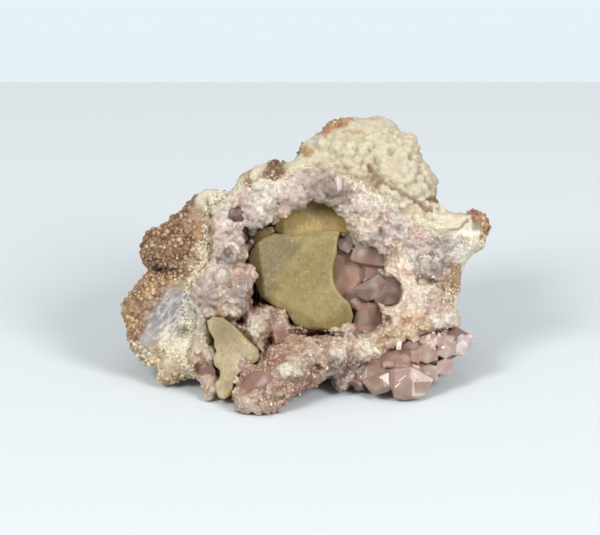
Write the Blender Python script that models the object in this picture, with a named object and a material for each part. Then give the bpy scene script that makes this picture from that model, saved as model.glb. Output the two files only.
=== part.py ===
"""Amethyst and calcite geode piece: a broken half shell of banded rock, its hollow lined with a
druse of pale amethyst, four calcite blades and a cluster of larger amethyst points.

Shapes are laid out in millimetres in the frame of the broken face: u to the right, v up along the
face, w out of it. The face leans back, and the last step sets it on the ground in metres.
"""

import math
import random

import bmesh
import bpy
import numpy as np
from mathutils import Matrix, Vector, noise

LEAN = math.radians(20)  # how far the broken face leans back from upright
RISE = 34.8  # height of the middle of the face above the ground
GAP = 0.38  # kept between neighbouring pieces
CELL = 1.15  # grid step of the rounded shapes
GRID_LOW = (-60.0, -50.0, -50.0)
GRID_HIGH = (62.0, 52.0, 27.0)
WALL_TRIANGLES = 2250
CRUST_TRIANGLES = 1500
CRUST_TRIANGLES_LEFT = 5600
DRUSE_POINTS = 100
SEED = 11

EDGE_ROLL = 6.0  # radius of the wall's rounded edge
MASS_FILLET = 3.5  # softness of the joins between the wall's masses
PIT_FILLET = 2.0  # softness of the rims of the hollow and the pits
SKIN = 2.3  # thickness of the druse over the rock
CLUMP_FILLET = 1.6
CREVICE_FILLET = 0.8
LINING = (5, -2, -8, 30, 26, 21)  # where the druse lines the hollow: centre, then half sizes
LINING_FROM = -9.0  # w below which the lining may reach past the druse's outline
DRUSE_FOOT = 0.25  # the druse ends this far above the ground

# Outline of the rock wall in the face plane, clockwise from the lower left ledge.
WALL_OUTLINE = [
    (-41.4, -35.0), (-43.5, -32.3), (-42.6, -29.6), (-47.4, -28.4), (-49.0, -25.4),
    (-51.6, -21.8), (-52.0, -19.7), (-51.0, -17.3), (-53.7, -13.4), (-53.1, -9.8),
    (-50.0, -6.8), (-48.0, -4.4), (-44.4, -1.0), (-47.1, 1.7), (-47.4, 5.3), (-47.1, 8.3),
    (-45.0, 10.7), (-40.5, 13.0), (-37.0, 15.5), (-34.0, 18.2), (-33.3, 20.6),
    (-30.6, 21.5), (-28.0, 22.7), (-21.0, 22.7), (-18.6, 25.7), (-18.0, 27.5),
    (-14.4, 30.2), (-11.4, 31.0), (-4.5, 31.7), (-2.1, 31.7), (-0.9, 33.8), (1.5, 37.4),
    (5.4, 40.7), (9.0, 43.7), (13.5, 45.2), (19.5, 45.5), (24.6, 45.5), (28.0, 44.3),
    (31.0, 41.3), (34.5, 38.0), (35.4, 32.3), (38.4, 29.3), (40.5, 25.7), (40.0, 20.3),
    (39.3, 17.9), (40.5, 16.7), (43.5, 17.6), (47.4, 16.4), (52.5, 16.7), (55.5, 15.2),
    (56.7, 12.0), (56.0, 8.3), (55.2, 6.5), (51.6, 3.5), (48.3, -2.0), (47.4, -7.7),
    (47.0, -11.3), (46.0, -16.0), (43.0, -20.0), (36.0, -22.5), (26.0, -26.0),
    (14.0, -31.0), (6.0, -32.0), (-2.0, -35.0), (-8.0, -39.0), (-14.0, -40.0),
    (-20.0, -36.5), (-27.0, -33.8), (-30.0, -33.2), (-35.4, -33.2), (-38.4, -34.7),
]

# How far out of the face plane the outline's rounded edge runs: u, v, w.
EDGE_DEPTHS = [
    (-45, 8, -9), (-52, -14, -8), (-50, -24, -6), (-41, -33, -4), (-30, -33, -2),
    (-20, -36, 5), (-8, -37, 10), (4, -33, 6), (15, -30, 0), (30, -24, -7), (45, -18, -9),
    (47, -6, -10), (55, 11, -7), (43, 16, -8), (39, 23, -18), (35, 36, -20), (20, 44, -21),
    (6, 40, -18), (-1, 33, -10), (-10, 30, -7), (-25, 22, -8), (-37, 15, -10),
]

# Rounded masses that fill the wall: centre u, v, w, then half sizes.
WALL_MASSES = [
    (0, -1, -20, 43, 31, 18), (-33, -3, -12, 17, 22, 12.5), (-37, 6, -8, 10, 9, 9),
    (-45, -13, -8, 8, 10, 8.5), (-36, -22, -6, 13, 8, 8), (-38, -31, -4, 6, 3.5, 4.5),
    (-8, 22, -12, 24, 8, 9.5), (17, 29, -19, 18, 16, 14), (28, 29, -18, 9, 12, 12),
    (9, 34, -18, 9, 9, 10), (33, 24, -15, 7, 8, 9), (22, 20, -11, 12, 8, 8),
    (36, 9, -11, 16, 8, 7.5), (49, 11, -7, 7, 5.5, 6), (38, -8, -13, 10, 14, 9),
    (0, -26, -10, 34, 9, 12), (-9, -32, 1, 15, 5, 8), (28, -18, -14, 16, 8, 9),
    (-10, -35.5, 9, 9, 4.5, 6.5),
]

# The hollow and the smaller pits cut into the wall: centre u, v, w, then half sizes.
WALL_HOLLOWS = [
    (0, 2.5, -3, 19, 22.5, 21), (14, -5, -3, 17, 16.5, 18), (-19, 15.5, -2, 3.4, 3, 7),
    (-34, -19.5, 3, 3.2, 1.8, 7), (52, 12.3, 0, 2.4, 2.0, 3), (-12, -8, -5, 6, 10, 14),
    (-17, -16, 2, 4, 2.6, 9), (4, -21.5, -3, 13, 3.6, 8), (-42, -1.2, 0, 6, 1.5, 6),
]

# Outline of the druse that covers the front of the wall and lines the hollow.
CRUST_OUTLINE = [
    (-25.5, 19.5), (-27, 12), (-26, 5), (-29, 0), (-32, -5), (-33, -12), (-30, -16),
    (-33, -21), (-34, -28), (-30, -33), (-27.5, -36.5), (-24, -38.7), (-20, -40.5),
    (-16.5, -43.8), (-13.5, -42.6), (-9.6, -44), (-6.5, -42), (-3, -38.7), (3, -36.6),
    (7.0, -33.8), (9.2, -32.6), (11, -34.6), (15.6, -36.6), (19.2, -34.8), (22, -31),
    (30, -27), (38, -22), (46, -21), (50, -19.5), (49, -14.5), (46, -11), (42.5, -6.5),
    (45, -1.5), (49, 3), (48, 8.5), (41, 11.5), (34, 13.5), (28.5, 18.5), (22, 23.5),
    (14, 27.5), (8, 30.5), (1, 30.0), (-5, 26), (-12, 26.5), (-19, 23),
]

# Clumps of druse that stand up from the crust: centre u, v, w, then half sizes.
CRUST_CLUMPS = [
    (-23, 18.5, -1.5, 3.5, 3.5, 3.5), (-14, 20.5, -2, 5, 4.5, 4), (-8, 22.5, -2, 5, 4, 4),
    (-2, 21.8, -3, 5, 4.2, 4.5), (-12, 15.6, -4, 4, 3.0, 4), (-7, 18.2, -4, 3.5, 2.6, 4),
    (3, 25.2, -4, 4.5, 4, 4.5), (8, 25.2, -5, 4.5, 4, 5), (13, 25.5, -4, 4.5, 4, 4.5),
    (18.5, 19.5, -5, 4.2, 5, 5), (20, 13, -6.5, 5, 5, 5), (25, 17.5, -4.5, 5, 4, 4),
    (24.5, 9, -7, 4, 4, 4), (31, 12, -4, 4.5, 3.5, 3.5), (37.5, 9, -4.5, 5, 3.5, 3.5),
    (43, 5.5, -4, 5, 3.8, 3.8), (36, 3, -5, 4.5, 4, 4), (40, 0, -4, 4.5, 3.2, 4),
    (29.5, 4, -7, 4.5, 5, 4.5), (31, -3, -6, 4.5, 5, 4.5), (34, -9, -5, 5, 4.5, 4.5),
    (28.5, -13.5, -4.5, 5.5, 5, 5), (34, -17, -4, 5, 4.5, 4.5), (43, -16.5, -4.5, 6, 4, 4.5),
    (27, -20, -2, 5, 4, 5), (20.5, -24.5, 1.5, 4.5, 3.5, 4.5), (13, -24.5, 2, 6, 5, 5.5),
    (14.5, -31, 3, 5.5, 3.8, 5), (1.5, -26.4, 3, 6.5, 5.8, 6), (-4.5, -24.6, 2, 4, 4, 5),
    (0, -32, 8, 7, 4.6, 6), (-8.4, -33.6, 12, 7, 5.0, 6.5), (-9.5, -39.8, 17.5, 3.8, 4.0, 4.5),
    (-15.2, -39.4, 16.0, 4.5, 4.1, 5), (-10, -31.8, 8, 3.6, 3.6, 4.5), (-3.5, -36, 13, 4, 3.4, 4.5),
    (-23, -35.5, 6.5, 4.5, 3.4, 5), (-27.5, -31, 3, 4, 4.5, 4.5), (-13, -14.5, -3, 4.5, 5, 5),
    (-11, -20.5, 0, 4.5, 4.5, 5), (-6.5, -14.8, -5, 3.5, 3, 5), (-23.5, 12, -1, 4, 4, 4),
    (-18.5, 9, -3, 3.5, 3.5, 4), (-24, 5, 0, 4, 4, 3.5), (-18.8, 3.8, -2, 3.8, 3.2, 4),
    (-25, -3, 0.5, 4.5, 4, 4), (-18.5, -4, -1, 4.5, 4, 4), (-17.5, -10.5, -1, 4.5, 4, 4.5),
    (-24, -9.5, 1, 4.5, 4, 4), (-29, -8, 0.5, 3.8, 4, 3.2), (-22.5, -13.6, 1, 4.5, 2.6, 4),
    (-28, -13.8, 1, 3.5, 3, 3.5), (-29.5, -21.5, 1.5, 4, 5, 4), (-29, -27.5, 2, 4, 4, 4),
]

# Dark gaps left between the clumps: centre u, v, w, then half sizes.
CRUST_GAPS = [
    (-19, 15.5, 0, 2.6, 2.3, 8), (-16.2, 8, -3, 1.6, 5.5, 8), (-17, 1.2, 0, 3.0, 1.2, 6),
    (-13.6, -9.5, -3, 1.5, 4, 9), (-18, -16.2, 3, 3.6, 1.5, 7), (-34, -19.5, 3, 3.2, 1.6, 5),
    (-9.4, -22.5, 3, 1.3, 5.2, 8), (5.5, -20.2, -1, 9.5, 2.0, 8), (4.8, -29.8, 7, 2.8, 1.7, 6),
    (16.5, -20.2, -1, 4, 0.9, 6), (37.6, -4.2, -1.5, 3.0, 1.0, 3.0), (36.5, -20.6, -1, 2, 1.4, 5),
    (24.2, 9.2, -3, 1.3, 1.6, 5), (8.6, -34.6, 3, 2.0, 2.2, 9), (-24.2, -38.9, 6, 1, 1, 2),
    (-17.3, -31.2, 19, 3.2, 4.2, 6.5), (-14.2, -27.6, 17, 2.4, 2.2, 5),
    (-19.2, -36.4, 20, 1.6, 3, 5.5),
]

# Larger amethyst points in the hollow: root u, v, w, direction, radius, length, turn, flatness.
INNER_POINTS = [
    (14.5, -3, -24, (0.05, 0.02, 1.0), 7.6, 14.0, 10, 0.85),
    (30, 3.0, -14, (-0.86, 0.02, 0.40), 4.6, 15.5, 18, 0.80),
    (31.5, -6.5, -13, (-0.88, 0.05, 0.42), 5.4, 16.5, 40, 0.85),
    (19.5, -15, -18, (0.0, 0.05, 1.0), 5.2, 12.0, 25, 0.95),
    (14, 9, -17, (-0.1, 0.3, 0.95), 3.0, 9.5, 15, 0.9),
    (19, 7.5, -15, (-0.3, 0.35, 0.85), 3.2, 9.0, 50, 0.9),
    (26.5, -10.5, -9, (-0.5, -0.35, 0.75), 3.2, 8.0, 20, 0.9),
    (24, -2, -12, (-0.5, 0.1, 0.85), 3.0, 8.0, 0, 0.9),
    (8, 27.5, -11, (0.0, -0.65, 0.75), 4.4, 12.5, 12, 0.9),
    (2.5, 26.5, -10, (-0.1, -0.55, 0.8), 3.2, 10.5, 30, 0.9),
    (13.5, 27, -10, (0.15, -0.5, 0.85), 3.2, 10.0, 5, 0.9),
    (-3, 24, -10, (0.2, -0.6, 0.8), 3.4, 10.5, 44, 0.9),
    (-8.5, 21.5, -9, (0.1, -0.55, 0.85), 2.8, 9.0, 8, 0.9),
    (-20.5, 14, -10, (0.2, 0.1, 1.0), 1.8, 6.0, 20, 0.8),
    (-11.0, -38.5, 14, (0.15, -0.55, 0.8), 2.6, 8.0, 10, 0.9),
    (-16.5, -39.5, 13, (-0.1, -0.55, 0.8), 2.8, 7.5, 33, 0.9),
    (-6.5, -37.5, 13, (0.3, -0.45, 0.85), 2.4, 7.0, 51, 0.9),
    (-26.0, -35, 4, (-0.35, -0.4, 0.85), 2.6, 6.5, 15, 0.9),
    (13, -32.5, 0, (-0.1, -0.45, 0.9), 2.8, 8.0, 27, 0.9),
    (17.5, -33, 0, (0.2, -0.4, 0.9), 2.6, 7.5, 5, 0.9),
]

# The cluster of larger points at the lower right, with the same columns as INNER_POINTS.
CLUSTER_POINTS = [
    (31.7, -31.2, -1, (0.09, -0.45, 0.89), 6.4, 18.0, 12, 0.95),
    (23.8, -30.8, -1, (-0.05, -0.42, 0.90), 4.6, 13.5, 35, 0.9),
    (39.0, -24.0, -9, (0.04, -0.06, 1.0), 5.6, 14.0, 24, 0.9),
    (43.5, -22.5, -9, (0.42, 0.05, 0.9), 4.6, 14.5, 5, 0.9),
    (45.0, -21.5, -9, (0.83, -0.10, 0.5), 4.4, 10.5, 40, 0.9),
    (41.5, -28.5, -6, (0.25, -0.50, 0.80), 3.0, 9.5, 18, 0.9),
    (39.5, -28.5, -6, (0.08, -0.60, 0.78), 3.0, 8.5, 48, 0.9),
    (31.0, -24.5, -8, (-0.05, -0.05, 1.0), 5.0, 12.5, 44, 0.9),
    (36.8, -32.2, -3, (0.16, -0.42, 0.89), 4.2, 12.5, 3, 0.9),
    (46.0, -25.5, -8, (0.62, -0.45, 0.62), 2.8, 8.0, 10, 0.9),
    (26.5, -31.5, -4, (-0.02, -0.55, 0.82), 3.4, 9.5, 55, 0.9),
]

# Calcite blades: outline in the face plane, then the depths of back, waist, shoulder and front.
CALCITE_MAIN = [
    (-13, 7.5), (-11, 9), (-8, 10.3), (-5, 10.0), (-2.5, 9.4), (0, 9.8), (5, 10.9), (9, 11.2),
    (12, 10.8), (11.1, 7), (11, 4), (9.8, 0), (10, -4), (11, -6.5), (13, -9), (15, -10.5),
    (16, -14.5), (15.5, -16.8), (13.5, -18.6), (10, -19.3), (2, -18.6), (-1.5, -17.3),
    (-4.3, -13.2), (-7, -12.2), (-11.8, -9), (-13.4, -5), (-15, -1), (-15.4, 2), (-15, 4.8),
]
CALCITE_UPPER = [
    (-8.0, 10.9), (-7.6, 14.5), (-6.2, 17.6), (-2.5, 20.2), (2, 21.8), (10, 22.0),
    (14, 20.2), (15.6, 17.5), (15.8, 14), (14.4, 11.5), (9, 11.9),
    (5, 11.6), (0, 10.5), (-2.5, 10.1), (-5, 10.7),
]
CALCITE_BACK_LEFT = [
    (-14.6, 8.0), (-13.6, 10.4), (-11, 12.0), (-8.6, 12.0), (-8.2, 11.0), (-11.3, 9.7),
    (-13.4, 8.1),
]
CALCITE_LOWER_LEFT = [
    (-28, -15.4), (-24, -14.9), (-20.4, -15.2), (-18, -18.2), (-14.4, -21.8), (-11.7, -25.4),
    (-12.2, -27.2), (-15, -29.5), (-18, -32.4), (-19.8, -35.6), (-20.3, -39), (-22.5, -39.8),
    (-25, -38.3), (-25.4, -34.8), (-24.3, -31.8), (-25.8, -28.2), (-25.2, -24.2),
    (-27.0, -20.6),
]

# Each blade: name, outline, depths, width of its bevel, lean of its front per u and per v, and
# its ridge as two points and the fall away from their line.
BLADES = [
    (
        "calcite_main", CALCITE_MAIN, (-21, -9, -5.0, -3.2), 3.2, (0.0, -0.10),
        ((-1, 3), (3, 8), 0.07),
    ),
    ("calcite_upper", CALCITE_UPPER, (-22, -13, -10.5, -9.2), 2.6, (0.05, -0.12), None),
    ("calcite_back_left", CALCITE_BACK_LEFT, (-20, -12, -10.5, -9.8), 0.7, (0.0, 0.0), None),
    ("calcite_lower_left", CALCITE_LOWER_LEFT, (3.5, 8.5, 10.6, 11.8), 1.5, (0.05, -0.26), None),
]


def ellipsoid(u, v, w, mass):
    """Nearly the distance to a rounded mass, negative inside it."""
    cu, cv, cw, a, b, c = mass
    x, y, z = u - cu, v - cv, w - cw
    near = np.sqrt((x / a) ** 2 + (y / b) ** 2 + (z / c) ** 2) + 1e-9
    slope = np.sqrt((x / a**2) ** 2 + (y / b**2) ** 2 + (z / c**2) ** 2) + 1e-9
    return near * (near - 1) / slope


def joined(first, second, soft):
    """Union of two fields with a fillet of about the soft distance."""
    h = np.clip(0.5 + 0.5 * (second - first) / soft, 0, 1)
    return second * (1 - h) + first * h - soft * h * (1 - h)


def cut(first, second, soft):
    """The first field less the second one, with a rounded edge."""
    return -joined(-first, second, soft)


def outline_distance(u, v, outline):
    """Distance to a closed outline in the face plane, negative inside."""
    nearest = np.full(u.shape, 1e9)
    inside = np.zeros(u.shape, bool)
    for (au, av), (bu, bv) in zip(outline, outline[1:] + outline[:1]):
        eu, ev = bu - au, bv - av
        along = np.clip(((u - au) * eu + (v - av) * ev) / (eu * eu + ev * ev), 0, 1)
        nearest = np.minimum(nearest, np.hypot(u - au - along * eu, v - av - along * ev))
        if ev:
            inside ^= ((av > v) != (bv > v)) & (u < au + (v - av) * eu / ev)
    return np.where(inside, -nearest, nearest)


def spread(u, v, marks):
    """A value carried smoothly over the face from marks given as u, v, value."""
    total = np.zeros(u.shape)
    weight = np.zeros(u.shape)
    for mu, mv, value in marks:
        share = 1 / ((u - mu) ** 2 + (v - mv) ** 2 + 6) ** 1.5
        total += share * value
        weight += share
    return total / weight


def grid():
    axes = [np.arange(a, b, CELL) for a, b in zip(GRID_LOW, GRID_HIGH)]
    return np.meshgrid(*axes, indexing="ij")


def wall_field(u, v, w):
    """The rock wall: a rounded edge along its outline, the masses inside it, less the hollow."""
    edge = outline_distance(u[:, :, 0], v[:, :, 0], WALL_OUTLINE)[:, :, None]
    depth = spread(u[:, :, 0], v[:, :, 0], EDGE_DEPTHS)[:, :, None]
    field = np.hypot(edge + EDGE_ROLL, (w - depth) * 0.85) - EDGE_ROLL
    for mass in WALL_MASSES:
        field = joined(field, ellipsoid(u, v, w, mass), MASS_FILLET)
    field = np.maximum(field, edge)
    for mass in WALL_HOLLOWS:
        field = cut(field, ellipsoid(u, v, w, mass), PIT_FILLET)
    return field


def crust_field(u, v, w, wall):
    """The druse: a skin over the wall's front and hollow, with clumps, less the dark gaps."""
    edge = outline_distance(u[:, :, 0], v[:, :, 0], CRUST_OUTLINE)[:, :, None]
    skin = wall - SKIN
    for mass in CRUST_CLUMPS:
        skin = joined(skin, ellipsoid(u, v, w, mass), CLUMP_FILLET)
    lining = np.minimum(LINING_FROM - w, ellipsoid(u, v, w, LINING))
    field = cut(skin, -np.maximum(edge, lining), CLUMP_FILLET)
    for mass in CRUST_GAPS:
        field = cut(field, ellipsoid(u, v, w, mass), CREVICE_FILLET)
    return field


# A grid cell's corners, and the six tetrahedra that it is cut into.
CUBE = [(0, 0, 0), (1, 0, 0), (1, 1, 0), (0, 1, 0), (0, 0, 1), (1, 0, 1), (1, 1, 1), (0, 1, 1)]
CUBE_IN_SIXTHS = [(0, 5, 1, 6), (0, 1, 2, 6), (0, 2, 3, 6), (0, 3, 7, 6), (0, 7, 4, 6), (0, 4, 5, 6)]


def level_surface(values):
    """The zero level of a field on the grid, as points and triangles, by marching tetrahedra."""
    sizes = values.shape
    numbers = np.arange(values.size).reshape(sizes)
    flat = values.ravel() + (values.ravel() == 0) * 1e-9
    corners = np.stack(
        [
            numbers[i : sizes[0] - 1 + i, j : sizes[1] - 1 + j, k : sizes[2] - 1 + k].ravel()
            for i, j, k in CUBE
        ],
        axis=1,
    )
    inside = flat < 0
    count = inside[corners].sum(axis=1)
    corners = corners[(count > 0) & (count < 8)]
    found = []
    for sixth in CUBE_IN_SIXTHS:
        ends = corners[:, sixth]
        for pattern in range(1, 15):
            wanted = np.array([bool(pattern >> k & 1) for k in range(4)])
            rows = ends[(inside[ends] == wanted).all(axis=1)]
            a = [rows[:, k] for k in range(4) if wanted[k]]
            b = [rows[:, k] for k in range(4) if not wanted[k]]
            if len(a) == 2:
                found.append([(a[0], b[0]), (a[0], b[1]), (a[1], b[1])])
                found.append([(a[0], b[0]), (a[1], b[1]), (a[1], b[0])])
            else:
                one, three = (a[0], b) if len(a) == 1 else (b[0], a)
                found.append([(one, other) for other in three])
    edges = np.concatenate([np.stack([np.stack(e, axis=1) for e in t], axis=1) for t in found])
    edges = np.sort(edges.reshape(-1, 2), axis=1)
    edges, index = np.unique(edges, axis=0, return_inverse=True)
    one, two = flat[edges[:, 0]], flat[edges[:, 1]]
    share = np.clip(one / (one - two), 0.02, 0.98)[:, None]
    place = np.stack(np.unravel_index(np.arange(values.size), sizes), axis=1)
    points = place[edges[:, 0]] * (1 - share) + place[edges[:, 1]] * share
    return points * CELL + np.array(GRID_LOW), index.reshape(-1, 3)


def object_of(name, points, faces):
    """A linked object from points and faces, with its faces turned outwards."""
    mesh = bpy.data.meshes.new(name)
    corners = [tuple(map(float, p)) for p in points]
    mesh.from_pydata(corners, [], [tuple(map(int, f)) for f in faces])
    shape = bmesh.new()
    shape.from_mesh(mesh)
    bmesh.ops.recalc_face_normals(shape, faces=shape.faces)
    shape.to_mesh(mesh)
    shape.free()
    thing = bpy.data.objects.new(name, mesh)
    bpy.context.collection.objects.link(thing)
    return thing


def modified(thing, kind, **settings):
    """The object with one modifier made and taken into its mesh."""
    modifier = thing.modifiers.new(kind.lower(), kind)
    for key, value in settings.items():
        setattr(modifier, key, value)
    graph = bpy.context.evaluated_depsgraph_get()
    mesh = bpy.data.meshes.new_from_object(thing.evaluated_get(graph))
    thing.modifiers.clear()
    thing.data = mesh
    return thing


def combine(thing, other, operation):
    """A Boolean with another object, which is used up.

    The solver is MANIFOLD: on the joined crystals EXACT leaves open edges."""
    modified(thing, "BOOLEAN", operation=operation, object=other, solver="MANIFOLD")
    bpy.data.objects.remove(other)
    return thing


def grown_copy(thing, distance):
    """A copy with its surface moved out along the normals."""
    other = thing.copy()
    other.data = thing.data.copy()
    bpy.context.collection.objects.link(other)
    shape = bmesh.new()
    shape.from_mesh(other.data)
    shape.normal_update()
    moves = [v.normal * distance / max(0.55, v.calc_shell_factor() ** -1) for v in shape.verts]
    for v, move in zip(shape.verts, moves):
        v.co += move
    shape.to_mesh(other.data)
    shape.free()
    return other


def displace(thing, height):
    """Every vertex moved along its normal by a height worked out from its place and normal."""
    shape = bmesh.new()
    shape.from_mesh(thing.data)
    shape.normal_update()
    moves = [v.normal * height(v.co, v.normal) for v in shape.verts]
    for v, move in zip(shape.verts, moves):
        v.co += move
    shape.to_mesh(thing.data)
    shape.free()


def crystal(point, grow=0.0):
    """Points and faces of a six-sided crystal with a pointed end."""
    u, v, w, direction, radius, length, turn, flat = point
    aim = Vector(direction).normalized()
    frame = aim.to_track_quat("Z", "Y").to_matrix() @ Matrix.Rotation(math.radians(turn), 3, "Z")
    radius += grow
    length += grow * 1.5
    tip = min(radius * 1.1, length * 0.6)
    root = Vector((u, v, w))
    points = []
    for height in (-grow, length - tip):
        for k in range(6):
            angle = math.pi * k / 3
            ring = Vector((radius * math.cos(angle), radius * flat * math.sin(angle), height))
            points.append(root + frame @ ring)
    points.append(root + frame @ Vector((radius * 0.18, -radius * 0.12, length)))
    faces = [(5, 4, 3, 2, 1, 0)]
    faces += [(k, (k + 1) % 6, 6 + (k + 1) % 6, 6 + k) for k in range(6)]
    faces += [(6 + k, 6 + (k + 1) % 6, 12) for k in range(6)]
    return points, faces


def crystals_object(name, rows, grow=0.0):
    """Crystals united into one mesh, pair by pair."""
    things = [object_of(name, *crystal(row, grow)) for row in rows]
    while len(things) > 1:
        pairs = list(zip(things[0::2], things[1::2]))
        rest = things[len(pairs) * 2 :]
        things = [combine(one, other, "UNION") for one, other in pairs] + rest
    return things[0]


def inset(outline, distance):
    """The outline moved in by a distance, along the bisector at each corner."""
    moved = []
    earlier = outline[-1:] + outline[:-1]
    later = outline[1:] + outline[:1]
    for before, here, after in zip(earlier, outline, later):
        one = Vector((here[0] - before[0], here[1] - before[1])).normalized()
        two = Vector((after[0] - here[0], after[1] - here[1])).normalized()
        side = Vector((one.y + two.y, -one.x - two.x)).normalized()
        moved.append((here[0] + side.x * distance, here[1] + side.y * distance))
    return moved


def fall_from(ridge, u, v):
    """How far a blade's front has fallen at a place, away from the line of its ridge."""
    (au, av), (bu, bv), fall = ridge
    across = (bu - au) * (v - av) - (bv - av) * (u - au)
    return fall * abs(across) / math.hypot(bu - au, bv - av)


def blade(name, outline, depths, bevel, lean, ridge, grow=0.0):
    """A crystal blade: rings of its outline from the back to a bevelled front face.

    The front leans by w per u and per v, and falls away on both sides of the ridge."""
    back, waist, shoulder, front = depths
    rings = [
        (back - grow, bevel * 0.5 - grow), (waist, -grow), (shoulder + grow, bevel * 0.1 - grow),
        (front + grow * 0.7, bevel * 0.5 - grow), (front + bevel * 0.15 + grow, bevel - grow),
    ]
    middle = np.mean(outline, axis=0)
    points = []
    for level, distance in rings:
        for u, v in inset(outline, distance):
            tilt = lean[0] * (u - middle[0]) + lean[1] * (v - middle[1])
            if ridge:
                tilt -= fall_from(ridge, u, v)
            points.append((u, v, level + tilt))
    n = len(outline)
    faces = [tuple(range(n)), tuple(range(len(points) - n, len(points)))[::-1]]
    for ring in range(len(rings) - 1):
        for k in range(n):
            a, b = ring * n + k, ring * n + (k + 1) % n
            faces.append((a, b, b + n, a + n))
    thing = object_of(name, points, faces)
    return modified(thing, "TRIANGULATE")


def largest_part(thing):
    """Drops every loose piece but the one with the most faces."""
    shape = bmesh.new()
    shape.from_mesh(thing.data)
    shape.faces.ensure_lookup_table()
    label = {}
    sizes = []
    for start in shape.faces:
        if start in label:
            continue
        label[start] = len(sizes)
        stack = [start]
        size = 0
        while stack:
            face = stack.pop()
            size += 1
            for edge in face.edges:
                for other in edge.link_faces:
                    if other not in label:
                        label[other] = len(sizes)
                        stack.append(other)
        sizes.append(size)
    keep = sizes.index(max(sizes))
    doomed = [f for f in shape.faces if label[f] != keep]
    bmesh.ops.delete(shape, geom=doomed, context="FACES")
    shape.to_mesh(thing.data)
    shape.free()


def clip_corner(one, other):
    """Splits a face that holds both corners, so that no cut can join them."""
    for corner, far in ((one, other), (other, one)):
        for loop in list(corner.link_loops):
            before, after = loop.link_loop_prev.vert, loop.link_loop_next.vert
            apart = far in loop.face.verts[:] and far not in (before, after)
            if apart and loop.is_convex and not any(after in e.verts[:] for e in before.link_edges):
                bmesh.utils.face_split(loop.face, before, after)
                return


def in_triangles(thing):
    """Cuts every face into triangles, no two faces along the same pair of corners."""
    shape = bmesh.new()
    shape.from_mesh(thing.data)
    for attempt in range(9):
        shape.verts.index_update()
        shape.verts.ensure_lookup_table()
        trial = shape.copy()
        bmesh.ops.triangulate(trial, faces=trial.faces[:])
        shared = [e.verts[:] for e in trial.edges if len(e.link_faces) > 2]
        for one, other in [(a.index, b.index) for a, b in shared]:
            clip_corner(shape.verts[one], shape.verts[other])
        if not shared:
            break
        trial.free()
    trial.to_mesh(thing.data)
    return thing


def above_ground(thing, height):
    """Cuts the object flat at a height above the ground and closes the cut."""
    normal = Vector((0, math.cos(LEAN), math.sin(LEAN)))
    shape = bmesh.new()
    shape.from_mesh(thing.data)
    where = normal * (height - RISE)
    everything = list(shape.verts) + list(shape.edges) + list(shape.faces)
    made = bmesh.ops.bisect_plane(
        shape, geom=everything, plane_co=where, plane_no=normal, clear_inner=True
    )
    rim = [e for e in made["geom_cut"] if isinstance(e, bmesh.types.BMEdge) and e.is_boundary]
    bmesh.ops.holes_fill(shape, edges=rim, sides=0)
    bmesh.ops.recalc_face_normals(shape, faces=shape.faces)
    shape.to_mesh(thing.data)
    shape.free()


def wall_relief(place, normal):
    """Lumps and pits of the rock, coarser on the brown lumps at the left."""
    height = 0.9 * noise.fractal(place * 0.11, 1.0, 2.0, 3)
    brown = max(0.0, min(1.0, (-24 - place.x) / 8)) + max(0.0, min(1.0, (-14 - place.z) / 8))
    distances, _ = noise.voronoi(place * 0.17)
    height -= 2.6 * min(brown, 1.0) * max(0.0, 0.42 - distances[0])
    height += 0.7 * noise.noise(place * 0.24)
    return height


def crust_relief(place, normal):
    """Blocky lumps, each as high as the nearest of scattered seeds allows."""
    distances, _ = noise.voronoi(place * 0.30)
    return 1.1 * (0.45 - distances[0]) + 0.5 * noise.noise(place * 0.5)


def cutters():
    """The blades and the cluster, each larger by the gap kept round it."""
    made = [blade(*row, grow=GAP) for row in BLADES]
    return made + [crystals_object("cutter", CLUSTER_POINTS, GAP)]


def make_wall():
    """The rock wall, flat where it rests, cut clear of the blades and the cluster."""
    thing = object_of("geode_wall", *level_surface(WALL))
    displace(thing, wall_relief)
    largest_part(thing)
    modified(thing, "DECIMATE", ratio=WALL_TRIANGLES / len(thing.data.polygons))
    above_ground(thing, 0.0)
    for cutter in cutters():
        combine(thing, cutter, "DIFFERENCE")
    largest_part(thing)
    in_triangles(thing)
    return thing


def make_cluster():
    thing = crystals_object("amethyst_cluster", CLUSTER_POINTS)
    above_ground(thing, 0.0)
    in_triangles(thing)
    return thing


def druse_points(thing, count):
    """Seeded small crystals standing on the druse, with their roots sunk into it."""
    draw = random.Random(SEED)
    mesh = thing.data
    mesh.calc_loop_triangles()
    faces = [t for t in mesh.loop_triangles if t.normal.z > 0.05 and t.center.z > -16]
    weights = [t.area for t in faces]
    rows = []
    while len(rows) < count:
        face = draw.choices(faces, weights)[0]
        a, b, c = (mesh.vertices[k].co for k in face.vertices)
        s, t = sorted((draw.random(), draw.random()))
        place = a * s + b * (t - s) + c * (1 - t)
        radius = draw.uniform(1.5, 2.6)
        if any((place - Vector(r[:3])).length < 2.4 + radius * 0.6 for r in rows):
            if draw.random() < 0.97:
                continue
        lean = Vector([draw.uniform(-0.4, 0.4) for _ in range(3)])
        aim = (face.normal + lean).normalized()
        root = place - aim * radius * 1.5
        length = radius * draw.uniform(2.3, 3.0)
        turn, flat = draw.uniform(0, 60), draw.uniform(0.8, 1.0)
        rows.append((*root, tuple(aim), radius, length, turn, flat))
    return rows


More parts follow.
